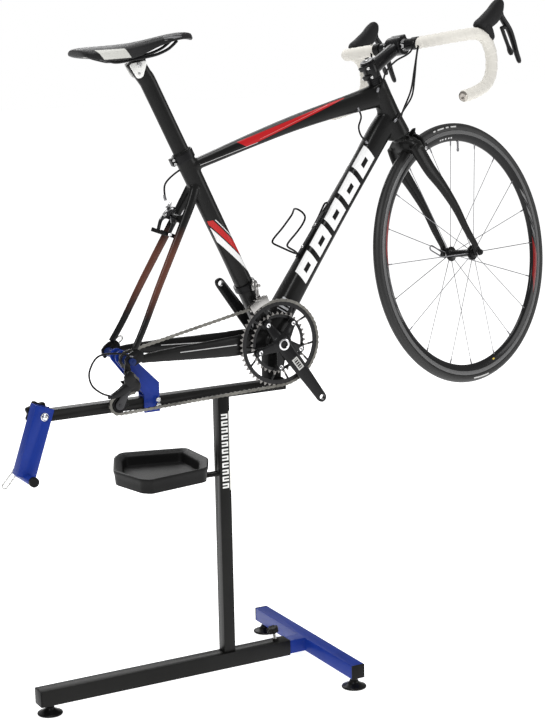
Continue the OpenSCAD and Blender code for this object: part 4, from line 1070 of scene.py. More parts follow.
# wound tape: each turn overlaps the one before it
tape_white = finish("cork tape", (0.66, 0.64, 0.59), 0.62, grain=900, bump=0.35, mottle=0.06,
    specular=0.2)
plug_metal = finish("bar plug", (0.45, 0.42, 0.38), 0.22, 1.0, grain=700, bump=0.15)
plugs = []
bands = []
for side, label in ((-1, "right"), (1, "left")):
    pts = [BAR + Vector((x, (y if side < 0 else -y), z)) for x, y, z in BAR_LINE]
    pts[0] = BAR + Vector((0, side * 52, 0))
    path = smooth_path(pts[1:], 24)
    lengths = [0.0]
    for a, b in zip(path, path[1:]):
        lengths.append(lengths[-1] + (b - a).length)
    total = lengths[-1]
    count = int(total / 1.6)
    even = []
    j = 0
    for k in range(count + 1):
        want = total * k / count
        while j < len(lengths) - 2 and lengths[j + 1] < want:
            j += 1
        even.append(path[j].lerp(path[j + 1], (want - lengths[j]) / max(1e-6,
            lengths[j + 1] - lengths[j])))
    rings = []
    side_dir = Vector((1, 0, 0))
    n = 28
    for k, p in enumerate(even):
        t = (even[min(k + 1, count)] - even[max(k - 1, 0)]).normalized()
        side_dir = (side_dir - side_dir.dot(t) * t).normalized()
        up = t.cross(side_dir)
        s = total * k / count
        ring = []
        for q in range(n):
            w = 2 * math.pi * q / n
            phase = (s / 22.0 + side * q / n) % 1.0
            step = 1.3 * min(1.0, phase / 0.9) if phase < 0.92 else 1.3 * (1 - phase) / 0.08
            r = 13.9 + step + 0.25 * math.sin(s * 0.9 + 3 * w)
            if k < 2 or k > count - 2:
                r = 13.2
            ring.append(p + r * (side_dir * math.cos(w) + up * math.sin(w)))
        rings.append(ring)
    tape = piece("bar_tape_" + label, *skin(rings), FORK)
    dress(tape, tape_white, "fork", ["bar_tape"] if side < 0 else (), smooth=50)
    start = BAR + Vector((0, side * 62, 0))
    band_ = turned("tape end band", [(-9, 14.6), (-9, 15.3), (8, 15.5), (9, 15.3), (9, 14.6)],
        FORK @ shift(start), 36)
    bands.append(band_)
    end = Vector(even[-1])
    before = Vector(even[-12])
    out = (end - before).normalized()
    seat = facing(FORK, end, out)
    plugs.append(turned("bar plug", [(-3, 0), (-3, 10), (0, 12.2), (1.2, 12.6), (3.4, 12), (4.6, 10),
        (4.8, 5), (4, 3.4), (4, 0)], seat, 36, "Z"))
dress(join("bar_end_plugs", plugs), plug_metal, "fork")
dress(join("tape_end_bands", bands), plastic, "fork")

# ---- hoods, levers and paddles ----

hood_rubber = finish("hood rubber", (0.0132, 0.0132, 0.0138), 0.55, grain=1600, bump=0.5)
HOOD = BAR + Vector((90, -208, 0))
right_hood = limb("hood grip", [station(HOOD, -21, 0, 7, 13, 13), station(HOOD, -17, 0, 9, 16.4, 15.4),
    station(HOOD, 0, 0, 12, 18.6, 16.6), station(HOOD, 20, 0, 18, 20.4, 15.8),
    station(HOOD, 42, 0, 26, 21.6, 14.8), station(HOOD, 59, 0, 37, 20.4, 14),
    station(HOOD, 71, 0, 48, 16, 12.6), station(HOOD, 76, 0, 56, 11, 10),
    station(HOOD, 78, 0, 60, 4.5, 5)], FORK, 6, 28, 2.4)
hood_foot = limb("hood foot", [station(HOOD, -8, 0, 10, 14, 15), station(HOOD, -5, 0, 6, 18, 17),
    station(HOOD, 2, 0, -6, 19, 17.4), station(HOOD, 7, 0, -18, 15.6, 16.8),
    station(HOOD, 10, 0, -27, 12, 15.5), station(HOOD, 11.5, 0, -31, 8, 12)], FORK, 6, 28, 2.4)
right_hood = join("hood_right", [right_hood, hood_foot])
trim = block("hood front", (6, 15, 30), HOOD + Vector((74, 0, 27)), FORK, 2.4)
left_hood = mirrored(right_hood, "hood_left", FORK)
left_trim = mirrored(trim, "hood_front_left", FORK)
dress(right_hood, hood_rubber, "fork", ["hoods"])
dress(left_hood, hood_rubber, "fork")
dress(join("hood_fronts", [trim, left_trim]), plastic, "fork")

LEVER = HOOD + Vector((66, 0, 24))
lever_black = finish("lever lacquer", (0.0088, 0.0088, 0.0094), 0.22, 0.3, coat=0.18, grain=500,
    bump=0.03)
blade = limb("brake_lever_right_blade", [station(LEVER, 2, 0, 5, 4.6, 6),
    station(LEVER, 5, 0, -2, 6, 7.4), station(LEVER, 16, 0, -22, 6, 8.4),
    station(LEVER, 29, 0, -44, 5.4, 8.6), station(LEVER, 36, 0, -72, 4.8, 8),
    station(LEVER, 40, 0, -100, 4.4, 7.2), station(LEVER, 44.6, 0, -122, 4.2, 6.4),
    station(LEVER, 46, 0, -129, 2.2, 3.6)], FORK, 6, 24, 2.6)
trim = limb("lever insert", [station(LEVER, 13, 0, -12, 1.4, 3.2), station(LEVER, 27, 0, -34, 1.6, 3.4),
    station(LEVER, 37, 0, -58, 1.4, 3.2)], FORK @ shift((4.6, 0, 1.5)), 6, 12, 2.4)
pin_piece = turned("lever pin", rod(-8.5, 8.5, 2.4), FORK @ shift(LEVER), 20)
insert = join("brake_lever_right_insert", [trim, pin_piece])
left_blade = mirrored(blade, "brake_lever_left_blade", FORK)
left_insert = mirrored(insert, "brake_lever_left_insert", FORK)
for obj, body, nodes in ((blade, "brake_lever_right", ["brake_lever_right"]),
        (left_blade, "brake_lever_left", ["brake_lever_left"])):
    dress(obj, lever_black, body, nodes)
dress(insert, chrome, "brake_lever_right")
dress(left_insert, chrome, "brake_lever_left")
PADDLE = LEVER + Vector((2, 0, -34))
paddle = join("shift_paddle_right_blade",
    [limb("paddle arm", [station(PADDLE, 0, 0, 4, 3.4, 4), station(PADDLE, 0, 0, -2, 3.8, 5),
    station(PADDLE, 5, 0, -24, 3.4, 5), station(PADDLE, 11, 0, -46, 2.8, 5.4),
    station(PADDLE, 14.5, 0, -58, 2.4, 8.2), station(PADDLE, 16.4, 0, -66, 2.0, 7.4),
    station(PADDLE, 17, 0, -70.4, 1.4, 4)], FORK, 6, 24, 2.6),
    limb("paddle lug", [station(PADDLE, -3, 0, 0, 4.4, 4.6), station(PADDLE, 8, 0, 0, 5.2, 5),
    station(PADDLE, 17, 0, -1, 4.6, 4.6)], FORK, 4, 18, 2.4), turned("paddle pin", rod(0, 22, 2),
    FORK @ shift(PADDLE), 16, "X")])
left_paddle = mirrored(paddle, "shift_paddle_left_blade", FORK)
paddle_finish = finish("paddle finish", (0.0193, 0.0193, 0.0198), 0.24, 0.6, coat=0.12, grain=500,
    bump=0.04)
dress(paddle, paddle_finish, "shift_paddle_right", ["shift_paddle_right"])
dress(left_paddle, paddle_finish, "shift_paddle_left", ["shift_paddle_left"])

# ---- cables ----


def cable_run(name, points, place, body, nodes=(), steps=10, r=2.3, between=None):
    """A cable housing held at both ends. One that runs between two bodies stays where it is made,
    attached to neither.
    """
    line = [place @ Vector(p) for p in smooth_path(points, steps)]
    obj = wire(name, points, r, place, steps, 12)
    obj.data.materials.append(cable)
    all_smooth(obj)
    if between:
        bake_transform(obj)
    else:
        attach(obj, body)
    if nodes:
        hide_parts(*nodes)
    length = sum((b - a).length for a, b in zip(line, line[1:]))
    return obj


brake_top = BRAKE_AT + turn("Y", BRAKE_LEAN) @ Vector((4, 22, 30))
cable_run("front_brake_cable", [BAR + Vector((2, -62, 8)), BAR + Vector((0, -74, 10)), (518, -50, 604),
    (512, -34, 560), (506, -14, 510), brake_top + Vector((8, -12, 36)), brake_top + Vector((4, -1, 12)),
    brake_top], FORK, "fork", ["bar_cables"])
cable_run("rear_brake_cable", [BAR + Vector((-2, -62, 8)), BAR + Vector((-8, -74, 12)), (478, -60, 606),
    (440, -44, 594), (412, -32, 576), (398, -28, 556), (388, -25, 538)], FORK, None,
    between=("fork", "stand"))
cable_run("rear_shift_cable", [BAR + Vector((-2, -66, 8)), BAR + Vector((-6, -80, 10)), (484, -72, 590),
    (480, -56, 540), (474, -42, 500), (446, -34, 474), (420, -31, 456)], FORK, None,
    between=("fork", "stand"))
cable_run("front_shift_cable", [BAR + Vector((-2, 66, 8)), BAR + Vector((-6, 80, 10)), (484, 72, 590),
    (480, 60, 540), (470, 46, 500), (446, 38, 474), (420, 31, 456)], FORK, None,
    between=("fork", "stand"))
cable_run("rear_mech_cable", [(-392, -68, 80), (-430, -72, 98), (-480, -78, 106), (-509, -80, 78),
    (-510, -80, 46), (-490, -79, 20), (REAR_X - 69, -77, 6)], BIKE, "stand", ["frame_cables"])
cable_run("seat_brake_cable", [(-98, 12, 458), (-120, 24, 460), (-150, 30, 456), (-190, 30, 434),
    (-200, 24, 402)], BIKE, "stand")
cable_run("head_cable_loop", [(330, -19, 503), (330, -26, 484), (318, -28, 462), (322, -26, 440),
    (338, -20, 420)], BIKE, "stand")


def ferrule(at, toward, place, r=3.4, h=9):
    """A stepped metal cap where a housing meets the frame or a brake."""
    seat = facing(place, at, toward)
    return turned("ferrule", [(-2, 0), (-2, r * 0.8), (0, r), (h * 0.6, r), (h * 0.66, r * 0.84),
        (h, r * 0.8), (h, 0)], seat, 20, "Z")


ends = [ferrule((-394, -68, 80), (-40, -4, 18), BIKE), ferrule((REAR_X - 60, -77, 5), (-9, 0, 1), BIKE,
    4.2, 12), ferrule((-96, 12, 458), (-24, 12, 4), BIKE), ferrule((-200, 24, 398), (0, 4, 20), BIKE,
    3.6, 12), ferrule((330, -18, 505), (0, -7, -18), BIKE), ferrule((340, -19, 417), (-14, -6, 20),
    BIKE), ferrule((420, -30, 454), (20, -3, 18), BIKE), ferrule((420, 30, 454), (20, 5, 18), BIKE),
    ferrule((387, -24, 535), (8, -3, 18), BIKE)]
dress(join("cable_ferrules", ends), grey_alloy, "stand")

# ---- front wheel ----


def polar(m, place):
    """Distance from a place's Y axis, turn about it in degrees, and y."""
    x, y, z = local(m, place)
    r = maths("SQRT", x * x + z * z)
    angle = maths("ARCTAN2", z, x) * (180 / math.pi)
    return r, angle, y


tread = [(315.2, -8.4), (316, -9.6), (317.6, -10.4), (320, -11.2), (323, -11.5), (326, -11.1),
    (329, -9.4), (331.4, -6.9), (333, -3.8), (333.9, -1.6), (334, 0)]
tread = tread + [(r, -y) for r, y in tread[-2::-1]] + [(313, 7.6), (313, -7.6)]
tyre_rubber = finish("tyre rubber", (0.0099, 0.0099, 0.0099), 0.48, grain=900, bump=0.3, mottle=0.2,
    specular=0.4)
r, angle, y = polar(tyre_rubber, WHEEL)
rib = band(abs(y), 0.0062, 0.0067, 0.0003)
paint(tyre_rubber, rib, (0.05, 0.05, 0.05))
dashes = both(band(r, 0.3222, 0.3262), either(band(angle, 79, 83, 0.2), band(angle, 84.2, 86.4, 0.2),
    band(angle, 87.6, 92.4, 0.2), band(angle, 93.6, 95.4, 0.2), band(angle, -101, -90, 0.2)),
    abs(y) > 0.006)
paint(tyre_rubber, dashes, (0.55, 0.55, 0.54))
tyre = hoop("front_tyre_finish", tread, WHEEL, 200)
dress(tyre, tyre_rubber, "front_wheel", ["front_tyre"], smooth=50)

wall = [(315.6, -8.2), (315.2, -9.7), (314, -10), (305, -10.1), (304, -9.9), (303.2, -9.8), (298, -8.8),
    (293, -6.8), (289.6, -4.6), (288.2, -2.4), (288, 0)]
wall = wall + [(r_, -y_) for r_, y_ in wall[-2::-1]] + [(309, 6), (309, -6)]
rim_black = finish("rim finish", (0.0088, 0.0088, 0.0094), 0.24, coat=0.18, grain=600, bump=0.04,
    mottle=0.2)
r, angle, y = polar(rim_black, WHEEL)
track = both(band(r, 0.3048, 0.3152), abs(y) > 0.008)
lines = fold(r, 0.0004) < 0.00018
paint(rim_black, track, (0.085, 0.085, 0.087))
paint(rim_black, both(track, lines), (0.16, 0.16, 0.16))
face = both(band(r, 0.2915, 0.3025), abs(y) > 0.003)
# two groups of sweeping marks, one opposite the other
for centre in (-14, 166):
    off = angle - centre if centre < 90 else (angle + 360) % 360 - centre
    lean_ = off + (r - 0.297) * 900
    paint(rim_black, both(face, band(lean_, -17, 4, 0.4)), (0.20, 0.012, 0.012))
    for a, b in ((7, 8), (9.5, 13), (15, 16.2), (18, 23), (25, 25.8), (28, 33)):
        paint(rim_black, both(band(r, 0.2940, 0.3005), face, band(lean_, a, b, 0.3)),
            (0.17, 0.17, 0.172))
    paint(rim_black, both(band(r, 0.3012, 0.3022), face, band(off, -19, 34, 0.4)), (0.32, 0.32, 0.32))
for spot in (82, 84, 86.4, 88.6, 90.4):
    paint(rim_black, both(band(r, 0.2945, 0.2985), face, band(angle, spot, spot + 1.2, 0.15)),
        (0.6, 0.6, 0.6))
paint(rim_black, both(band(r, 0.2945, 0.2990), face, band(angle, -84.4, -82.6, 0.15)),
    (0.62, 0.46, 0.08))
rim = hoop("front_rim_finish", wall, WHEEL, 200)
dress(rim, rim_black, "front_wheel", ["front_rim"], smooth=30)

spokes = []
nipples = []
for i in range(SPOKES):
    w = rad(360 / SPOKES * (i + 0.5))
    out = Vector((math.cos(w), 0, -math.sin(w)))
    side = 1 if i % 2 else -1
    a = 18.4 * out + Vector((0, side * 36, 0))
    b = 289 * out + Vector((0, side * 2.4, 0))
    across = Vector((0, 1, 0)).cross(out)
    stations = [(0, 1.0, 1.0), (0.05, 1.0, 1.0), (0.12, 0.55, 1.15), (0.9, 0.55, 1.15),
        (0.95, 1.0, 1.0), (1, 1.0, 1.0)]
    rings = [oval(a.lerp(b, t), b - a, thin, wide, 8, 2.0, across) for t, thin, wide in stations]
    spokes.append(piece("spoke", *skin(rings), WHEEL))
    seat = facing(WHEEL, a.lerp(b, 0.955), b - a)
    nipples.append(turned("nipple", [(0, 1.2), (0, 1.8), (8, 1.9), (12, 2.0), (12, 0)], seat, 10, "Z"))
spoke_steel = finish("bladed spoke", (0.20, 0.20, 0.21), 0.3, 1.0, grain=300, bump=0.03, mottle=0.1)
dress(join("front_spokes_finish", spokes + nipples), spoke_steel, "front_wheel", ["front_spokes"],
    smooth=40)
valve_at = Vector((math.cos(rad(76)), 0, math.sin(rad(76))))
seat = facing(WHEEL, 289 * valve_at, -valve_at)
dress(turned("tyre_valve", [(-3, 3.2), (0, 4.2), (1.6, 4.2),
    (2.4, 3)] + [(3 + 0.7 * k, 2.9 - 0.3 * (k % 2)) for k in range(24)] + [(20.4, 3.4), (26, 3.4),
    (27.6, 2.6), (28, 0)], seat, 20, "Z"), grey_alloy, "front_wheel")
hub_profile = twice([(-44.6, 0), (-44.6, 9.4), (-43.8, 10.4), (-42.4, 13), (-38, 14.2), (-37.6, 18.4),
    (-36.4, 19.2), (-33.6, 19.2), (-32.6, 18.2), (-31.4, 13), (-27, 10.4), (-16, 9.4)], [(0, 9.2)])
hub_parts = [turned("hub shell", hub_profile, WHEEL, 48)]
for i in range(SPOKES):
    w = rad(360 / SPOKES * (i + 0.5))
    side = 1 if i % 2 else -1
    hub_parts.append(turned("spoke head", faced(side, [(0, 0), (0, 1.9), (1.4, 1.6), (2, 0.8), (2, 0)]),
        WHEEL @ shift((16.6 * math.cos(w), side * 37.2, -16.6 * math.sin(w))), 10))
dress(join("front_hub_finish", hub_parts), black_alloy, "front_wheel", ["front_hub"])
axle = [turned("skewer", rod(-64, 64, 2.6), WHEEL, 20),
    turned("axle ends", [(-57, 2.6), (-57, 4.3), (57, 4.3), (57, 2.6)], WHEEL, 28)]
for side in (-1, 1):
    axle.append(turned("lock nut", faced(side, [(50, 4), (50, 8), (49.2, 8), (46, 7.2), (45.2, 4)]),
        WHEEL, 32))
    axle.append(turned("washer", faced(side, [(56.4, 3), (56.4, 8.6), (57.2, 8.8), (58.2, 8.6),
        (58.2, 3)]), WHEEL, 32))
dress(join("front_axle_finish", axle), steel, "fork", ["front_axle"])
dress(turned("skewer_nut", [(-67.4, 0), (-67.4, 4.4), (-66, 6.6), (-62, 8.4), (-58.6, 8.8),
    (-58.2, 8.8), (-58.2, 0)], WHEEL, 9), black_alloy, "fork", smooth=30)
dress(turned("lever_cam", [(57, 0), (57, 8.6), (58.6, 9), (62, 9), (65, 8), (66.4, 6), (66.8, 0)],
    WHEEL, 32), black_alloy, "fork")

# ---- cranks, chainrings and chain ----


def toothed(teeth, pitch_r, tip=3.4, root=3.6):
    """A sprocket's outline: each tooth rises from a round seat for the roller."""
    out = []
    for k in range(teeth):
        for f, r in ((0.0, -root), (0.14, -root * 0.86), (0.27, -root * 0.25), (0.36, tip * 0.55),
                (0.44, tip), (0.56, tip), (0.64, tip * 0.55), (0.73, -root * 0.25),
                (0.86, -root * 0.86)):
            w = 2 * math.pi * (k + f) / teeth
            out.append(((pitch_r + r) * math.cos(w), (pitch_r + r) * math.sin(w)))
    return out


def ring_plate(name, outer, inner_r, y, thick, place):
    """A flat ring with a cut outline outside and a round hole, thinner at its teeth."""
    n = len(outer)
    inner = [(inner_r * math.cos(2 * math.pi * k / n), inner_r * math.sin(2 * math.pi * k / n))
        for k in range(n)]
    mid = [((0.93 * x + 0.07 * u), (0.93 * z + 0.07 * v)) for (x, z), (u, v) in zip(outer, inner)]
    rings = [[Vector((x, y - thick * 0.32, z)) for x, z in outer], [Vector((x, y + thick * 0.32, z))
        for x, z in outer], [Vector((x, y + thick / 2, z)) for x, z in mid],
        [Vector((x, y + thick / 2, z)) for x, z in inner], [Vector((x, y - thick / 2, z)) for x,
        z in inner], [Vector((x, y - thick / 2, z)) for x, z in mid]]
    return piece(name, *skin(rings, closed=True), place)


ring_black = finish("black chainring", (0.0121, 0.0121, 0.0127), 0.34, 0.6, grain=500, bump=0.08,
    specular=0.6)
r, angle, y = polar(ring_black, BIKE)
for low, high in ((0.1015, 0.112), (0.0695, 0.0785)):
    paint(ring_black, both(band(r, low, high)), (0.22, 0.21, 0.20))
rings_ = [ring_plate("outer ring", toothed(52, RING_R), 92, CHAIN_Y, 2.6, CRANK),
    ring_plate("inner ring", toothed(36, SMALL_R), 62.5, INNER_Y, 2.6, CRANK)]
for i in range(5):
    w = 72 * (i + 0.5)
    foot = CRANK @ turn("Y", w)
    rings_.append(block("ring lug", (12, 2.4, 15), (59, CHAIN_Y, 0), foot, 1.0))
    rings_.append(block("ring lug", (9, 2.4, 13), (58.6, INNER_Y, 0), foot, 1.0))
    for lean_ in (-1, 1):
        strut = [(57, CHAIN_Y, lean_ * 5, 2.6, 1.2), (72, CHAIN_Y, lean_ * 13, 2.4, 1.2),
            (94, CHAIN_Y, lean_ * 25, 3.0, 1.2)]
        rings_.append(limb("ring strut", strut, foot, 4, 12, 3.0))
    rings_.append(turned("ring bolt", [(CHAIN_Y - 6, 0), (CHAIN_Y - 6, 4.6), (CHAIN_Y - 5, 5.2),
        (CHAIN_Y + 9.6, 5.2), (CHAIN_Y + 9.8, 0)], foot @ shift((RING_BOLT_R, 0, 0)), 24))
dress(join("chainrings_finish", rings_), ring_black, "crank", ["chainrings"])

crank_black = finish("crank lacquer", (0.0094, 0.0094, 0.0099), 0.30, 0.3, coat=0.16, grain=500,
    bump=0.04, mottle=0.4)
x, y, z = local(crank_black, CRANK)
near_face = y < -0.0645
frame_mark = both(band(x, 0.045, 0.078), band(z, -0.0085, 0.0085), near_face)
hole = both(band(x, 0.0485, 0.0745), band(z, -0.0055, 0.0055))
bars_ = both(hole, fold(x, 0.0032) < 0.0012)
paint(crank_black, minus(frame_mark, hole), (0.55, 0.55, 0.53))
paint(crank_black, both(frame_mark, bars_), (0.50, 0.50, 0.48))


def pierced(obj, place, r, at, y):
    """Cuts a round hole along Y through a piece."""
    cutter = turned("cutter", rod(y - 20, y + 20, r), place @ shift(at), 40)
    obj.data.materials.clear()
    mod = obj.modifiers.new("hole", "BOOLEAN")
    mod.object = cutter
    mod.solver = "EXACT"
    bpy.ops.object.select_all(action="DESELECT")
    bpy.context.view_layer.objects.active = obj
    obj.select_set(True)
    bpy.ops.object.modifier_apply(modifier=mod.name)
    obj.select_set(False)
    bpy.data.objects.remove(cutter)
    return obj


right_arm = limb("right arm", [(-16, -58.6, 0, 15, 5), (0, -59.4, 0, 19.8, 6.4),
    (30, -62.6, 0, 18.6, 6.8), (80, -67.4, 0, 16.8, 6.6), (130, -70.6, 0, 14.4, 6.2),
    (160, -71.6, 0, 13.2, 6), (176, -72, 0, 12.2, 6), (183.6, -72, 0, 7.4, 5.6), (185.4, -72, 0, 3, 4)],
    CRANK, 6, 28, 3.2)
left_arm = limb("left arm", [(14, 58, 0, 13, 6), (0, 59.6, 0, 16.8, 7), (-30, 63, 0, 16.6, 7),
    (-80, 67, 0, 15.4, 6.6), (-130, 70.4, 0, 13.8, 6.2), (-160, 71.6, 0, 13, 6), (-176, 72, 0, 12, 6),
    (-183.6, 72, 0, 7.4, 5.6), (-185.4, 72, 0, 3, 4)], CRANK, 6, 28, 3.2)
pierced(right_arm, CRANK, 7, (172.5, 0, 0), -72)
pierced(left_arm, CRANK, 7, (-172.5, 0, 0), 72)
parts = [right_arm, left_arm, turned("hub boss", [(-66.4, 15), (-66, 17), (-60, 24), (-58, 26.4),
    (-49, 27), (-48, 26), (-47.4, 12)], CRANK, 48),
    turned("left boss", [(50, 11), (51, 15), (64, 16.4), (66.6, 15.4), (67, 9.4)], CRANK, 40)]
for i in range(5):
    w = 72 * (i + 0.5)
    arm = limb("spider arm", [(10, -57, 0, 15, 4.6), (28, -55.4, 0, 12.6, 4.4), (46, -51.6, 0, 10, 3.8),
        (60, -49.8, 0, 8.8, 2.9), (66, -49.4, 0, 7, 2.6), (68.4, -49.4, 0, 3, 2)], CRANK @ turn("Y", w),
        5, 20, 3.0)
    parts.append(arm)
dress(join("cranks_finish", parts), crank_black, "crank", ["cranks"], smooth=40)
trim = [turned("crank bolt ring", [(-64, 9.6), (-70, 9.6), (-70.8, 10.4), (-70.8, 13), (-70.2, 14),
    (-67, 14.4), (-64, 14.4)], CRANK, 48)]
for w in range(5):
    trim.append(turned("ring bolt head", [(-52.8, 0), (-52.8, 2.2), (-53.6, 2.5), (-54.4, 4.6),
        (-54, 5.4), (-52, 5.6), (-52, 0)],
        CRANK @ turn("Y", 72 * (w + 0.5)) @ shift((RING_BOLT_R, 0, 0)), 24))
dress(join("crank_fittings", trim), chrome, "crank")
dress(turned("crank_axle", twice([(-64.5, 0), (-64.5, 6), (-63, 9.2), (-60, 9.6)]), CRANK, 32), steel,
    "crank")

# the chain: links along the same loop as the part's chain
def arc(centre, r, start, stop, count):
    return [centre + Vector((r * math.cos(rad(start + (stop - start) * k / count)), 0,
        r * math.sin(rad(start + (stop - start) * k / count)))) for k in range(count + 1)]


ORIGIN = Vector((0, 0, 0))
loop = (arc(ORIGIN, RING_R, -96.9, 92.4, 60) + arc(REAR_HUB, 18, 92.4, 217.5, 14) + arc(UPPER, PULLEY_R,
    37.5, -98.8, 14) + arc(LOWER, PULLEY_R, 81.2, 263.1, 18))
loop.append(loop[0])
ends = [0.0]
for a, b in zip(loop, loop[1:]):
    ends.append(ends[-1] + (b - a).length)
links = int(round(ends[-1] / 12.7))
links += links % 2


def on_chain(s):
    s %= ends[-1]
    j = next(k for k in range(len(ends) - 1) if ends[k + 1] >= s)
    return loop[j].lerp(loop[j + 1], (s - ends[j]) / max(1e-9, ends[j + 1] - ends[j]))


pins = [on_chain(ends[-1] * k / links) for k in range(links)]
verts = []
faces = []


def link_plate(a, b, y, r, waist):
    """A figure-of-eight side plate between two pins."""
    d = (b - a).normalized()
    up = Vector((-d.z, 0, d.x))
    mid = (a + b) / 2
    outline = []
    for base, start in ((b, -90), (a, 90)):
        for k in range(5):
            w = rad(start + 45 * k)
            outline.append(base + r * (d * math.cos(w) + up * math.sin(w)))
        outline.append(mid + up * waist * (1 if start < 0 else -1))
    first = len(verts)
    n = len(outline)
    for s in (-0.5, 0.5):
        verts.extend(p + Vector((0, y + s, 0)) for p in outline)
    faces.append(tuple(range(first, first + n)))
    faces.append(tuple(range(first + n, first + 2 * n))[::-1])
    faces.extend((first + k, first + n + k, first + n + (k + 1) % n, first + (k + 1) % n)
        for k in range(n))


for k, a in enumerate(pins):
    b = pins[(k + 1) % links]
    off = 2.35 if k % 2 else 1.65
    for side in (-1, 1):
        link_plate(a, b, CHAIN_Y + side * off, 3.9, 2.5)
plates = piece("chain_plates", verts, faces, BIKE)
verts = []
faces = []
for a in pins:
    first = len(verts)
    for y_, r_ in ((-3.1, 1.8), (-1.6, 1.8), (-1.6, 3.2), (1.6, 3.2), (1.6, 1.8), (3.1, 1.8)):
        for q in range(8):
            verts.append(a + Vector((r_ * math.cos(q * math.pi / 4), CHAIN_Y + y_,
                r_ * math.sin(q * math.pi / 4))))
    for s in range(5):
        for q in range(8):
            p = first + s * 8
            q2 = (q + 1) % 8
            faces.append((p + q, p + 8 + q, p + 8 + q2, p + q2))
    faces.append(tuple(range(first, first + 8)))
    faces.append(tuple(range(first + 40, first + 48))[::-1])
rollers = piece("chain_rollers", verts, faces, BIKE)
chain_steel = finish("oiled chain", (0.17, 0.165, 0.15), 0.34, 0.85, grain=250, bump=0.1, mottle=0.6)
dress(join("chain_finish", [plates, rollers]), chain_steel, "stand", ["chain"], smooth=0)

# ---- front and rear mech ----

front_band = limb("front_mech_band", [(*on_seat(149), 26.4, 26.2), (*on_seat(150.6), 27.2, 27),
    (*on_seat(163.4), 27.2, 27), (*on_seat(165), 26.4, 26.2)], BIKE, 2, 40, 2.2)
dress(front_band, black_alloy, "stand")
fm = [limb("mech body", [(-33, -28, 163, 6, 5), (-34, -31, 158, 8, 6.6), (-37, -34, 150, 8, 7),
    (-38, -37, 142, 6, 5.6)], BIKE, 5, 20, 2.8),
    limb("link", [(-33, -36, 150, 4, 4), (-33, -38, 138, 4, 4), (-35, -40, 128, 3.4, 4)], BIKE, 5, 16,
    2.8), turned("clamp bolt", [(0, 0), (0, 4), (4, 4), (4.6, 3), (4.6, 1.8), (3, 1.6), (3, 0)],
    BIKE @ shift((-28, -40, 152)) @ turn("Z", -180), 20)]
mech_silver = finish("mech alloy", (0.36, 0.35, 0.34), 0.26, 0.95, grain=500, bump=0.06, mottle=0.15)
dress(join("front_mech_finish", fm), mech_silver, "stand", ["front_mech"])
cage = []
for y_, low, high in ((CHAIN_Y - 7.35, 108.6, 128.4), (CHAIN_Y + 6.4, 110, 126)):
    outline = [(high * math.cos(rad(w)), high * math.sin(rad(w))) for w in range(97, 124, 3)]
    outline += [(low * math.cos(rad(w)), low * math.sin(rad(w))) for w in range(123, 95, -3)]
    cage.append(plate("cage plate", outline, 0.9, BIKE @ shift((0, y_, 0)), 0.3))
cage.append(block("cage bridge", (15, 15, 2.4), (-40, CHAIN_Y - 0.5, 119.6), BIKE, 0.9))
cage.append(block("cage arm", (7, 7, 22), (-34, CHAIN_Y + 8.6, 130), BIKE, 2))
dress(join("front_mech_cage_finish", cage), mech_silver, "front_mech_cage", ["front_mech_cage"])

mech_black = finish("mech black", (0.0110, 0.0110, 0.0116), 0.30, 0.3, coat=0.1, grain=600, bump=0.08)
hang = REAR_HUB + Vector((-14, 0, -27))
rear = [limb("upper body", [(hang.x + 2, -82, hang.z + 7, 9, 5.6), (hang.x - 3, -82.4, hang.z - 4, 12.4,
    6.4), (hang.x - 1, -80, hang.z - 18, 15, 7), (UPPER.x - 1, -78, UPPER.z + 3, 14.4, 7),
    (UPPER.x - 4, -77, UPPER.z - 9, 10, 5.8)], BIKE, 5, 24, 2.5),
    limb("outer link", [(UPPER.x + 6, -79.4, UPPER.z + 10, 10.4, 5.2),
    (UPPER.x - 22, -79.6, UPPER.z + 5, 11.6, 5.6), (REAR_X - 46, -78.4, 8, 10, 5.2),
    (REAR_X - 66, -77, 4, 6, 4.4), (REAR_X - 72, -77, 3.4, 3.2, 3)], BIKE, 5, 22, 2.5),
    turned("cage barrel", [(-82.6, 0), (-82.6, 7), (-81, 9.4), (-74, 11.6), (-60, 12), (-53, 11.4),
    (-52.6, 3)], BIKE @ shift(UPPER), 36),
    turned("barrel adjuster", [(0, 0), (0, 4.2), (1, 4.8), (7, 4.8), (8, 4.2), (8, 0)],
    BIKE @ shift((REAR_X - 68, -77, 4)) @ turn("Y", -84), 16, "Z")]
for z_ in (-3, 3):
    rear.append(turned("limit screw", rod(-84.6, -79, 1.8),
        BIKE @ shift((hang.x - 9, 0, hang.z - 8 + z_)), 12))
dress(join("rear_mech_finish", rear), mech_black, "stand", ["rear_mech"])
span = LOWER - UPPER
tip = math.degrees(math.atan2(span.z, span.x))
cage = []
for y_ in (CHAIN_Y - 6.5, CHAIN_Y + 6.5):
    out = [(LOWER + 11.6 * Vector((math.cos(rad(tip + w)), 0, math.sin(rad(tip + w)))))
        for w in range(-90, 91, 20)]
    side_ = Vector((-span.z, 0, span.x)).normalized()
    out += [UPPER.lerp(LOWER, 0.5) + 7.4 * side_]
    out += [(UPPER + 11.6 * Vector((math.cos(rad(tip + w)), 0, math.sin(rad(tip + w)))))
        for w in range(90, 271, 20)]
    out += [UPPER.lerp(LOWER, 0.5) - 7.4 * side_]
    cage.append(plate("cage side", [(p.x, p.z) for p in out], 1.9, BIKE @ shift((0, y_, 0)), 0.6))
for at_ in (UPPER, LOWER):
    cage.append(turned("pulley bolt", [(CHAIN_Y - 8.8, 0), (CHAIN_Y - 8.8, 3.6), (CHAIN_Y - 7.4, 4.2),
        (CHAIN_Y - 7.4, 2.9), (CHAIN_Y + 7.4, 2.9), (CHAIN_Y + 7.4, 0)], BIKE @ shift(at_), 24))
cage_grey = finish("cage alloy", (0.045, 0.045, 0.047), 0.3, 0.9, grain=500, bump=0.06)
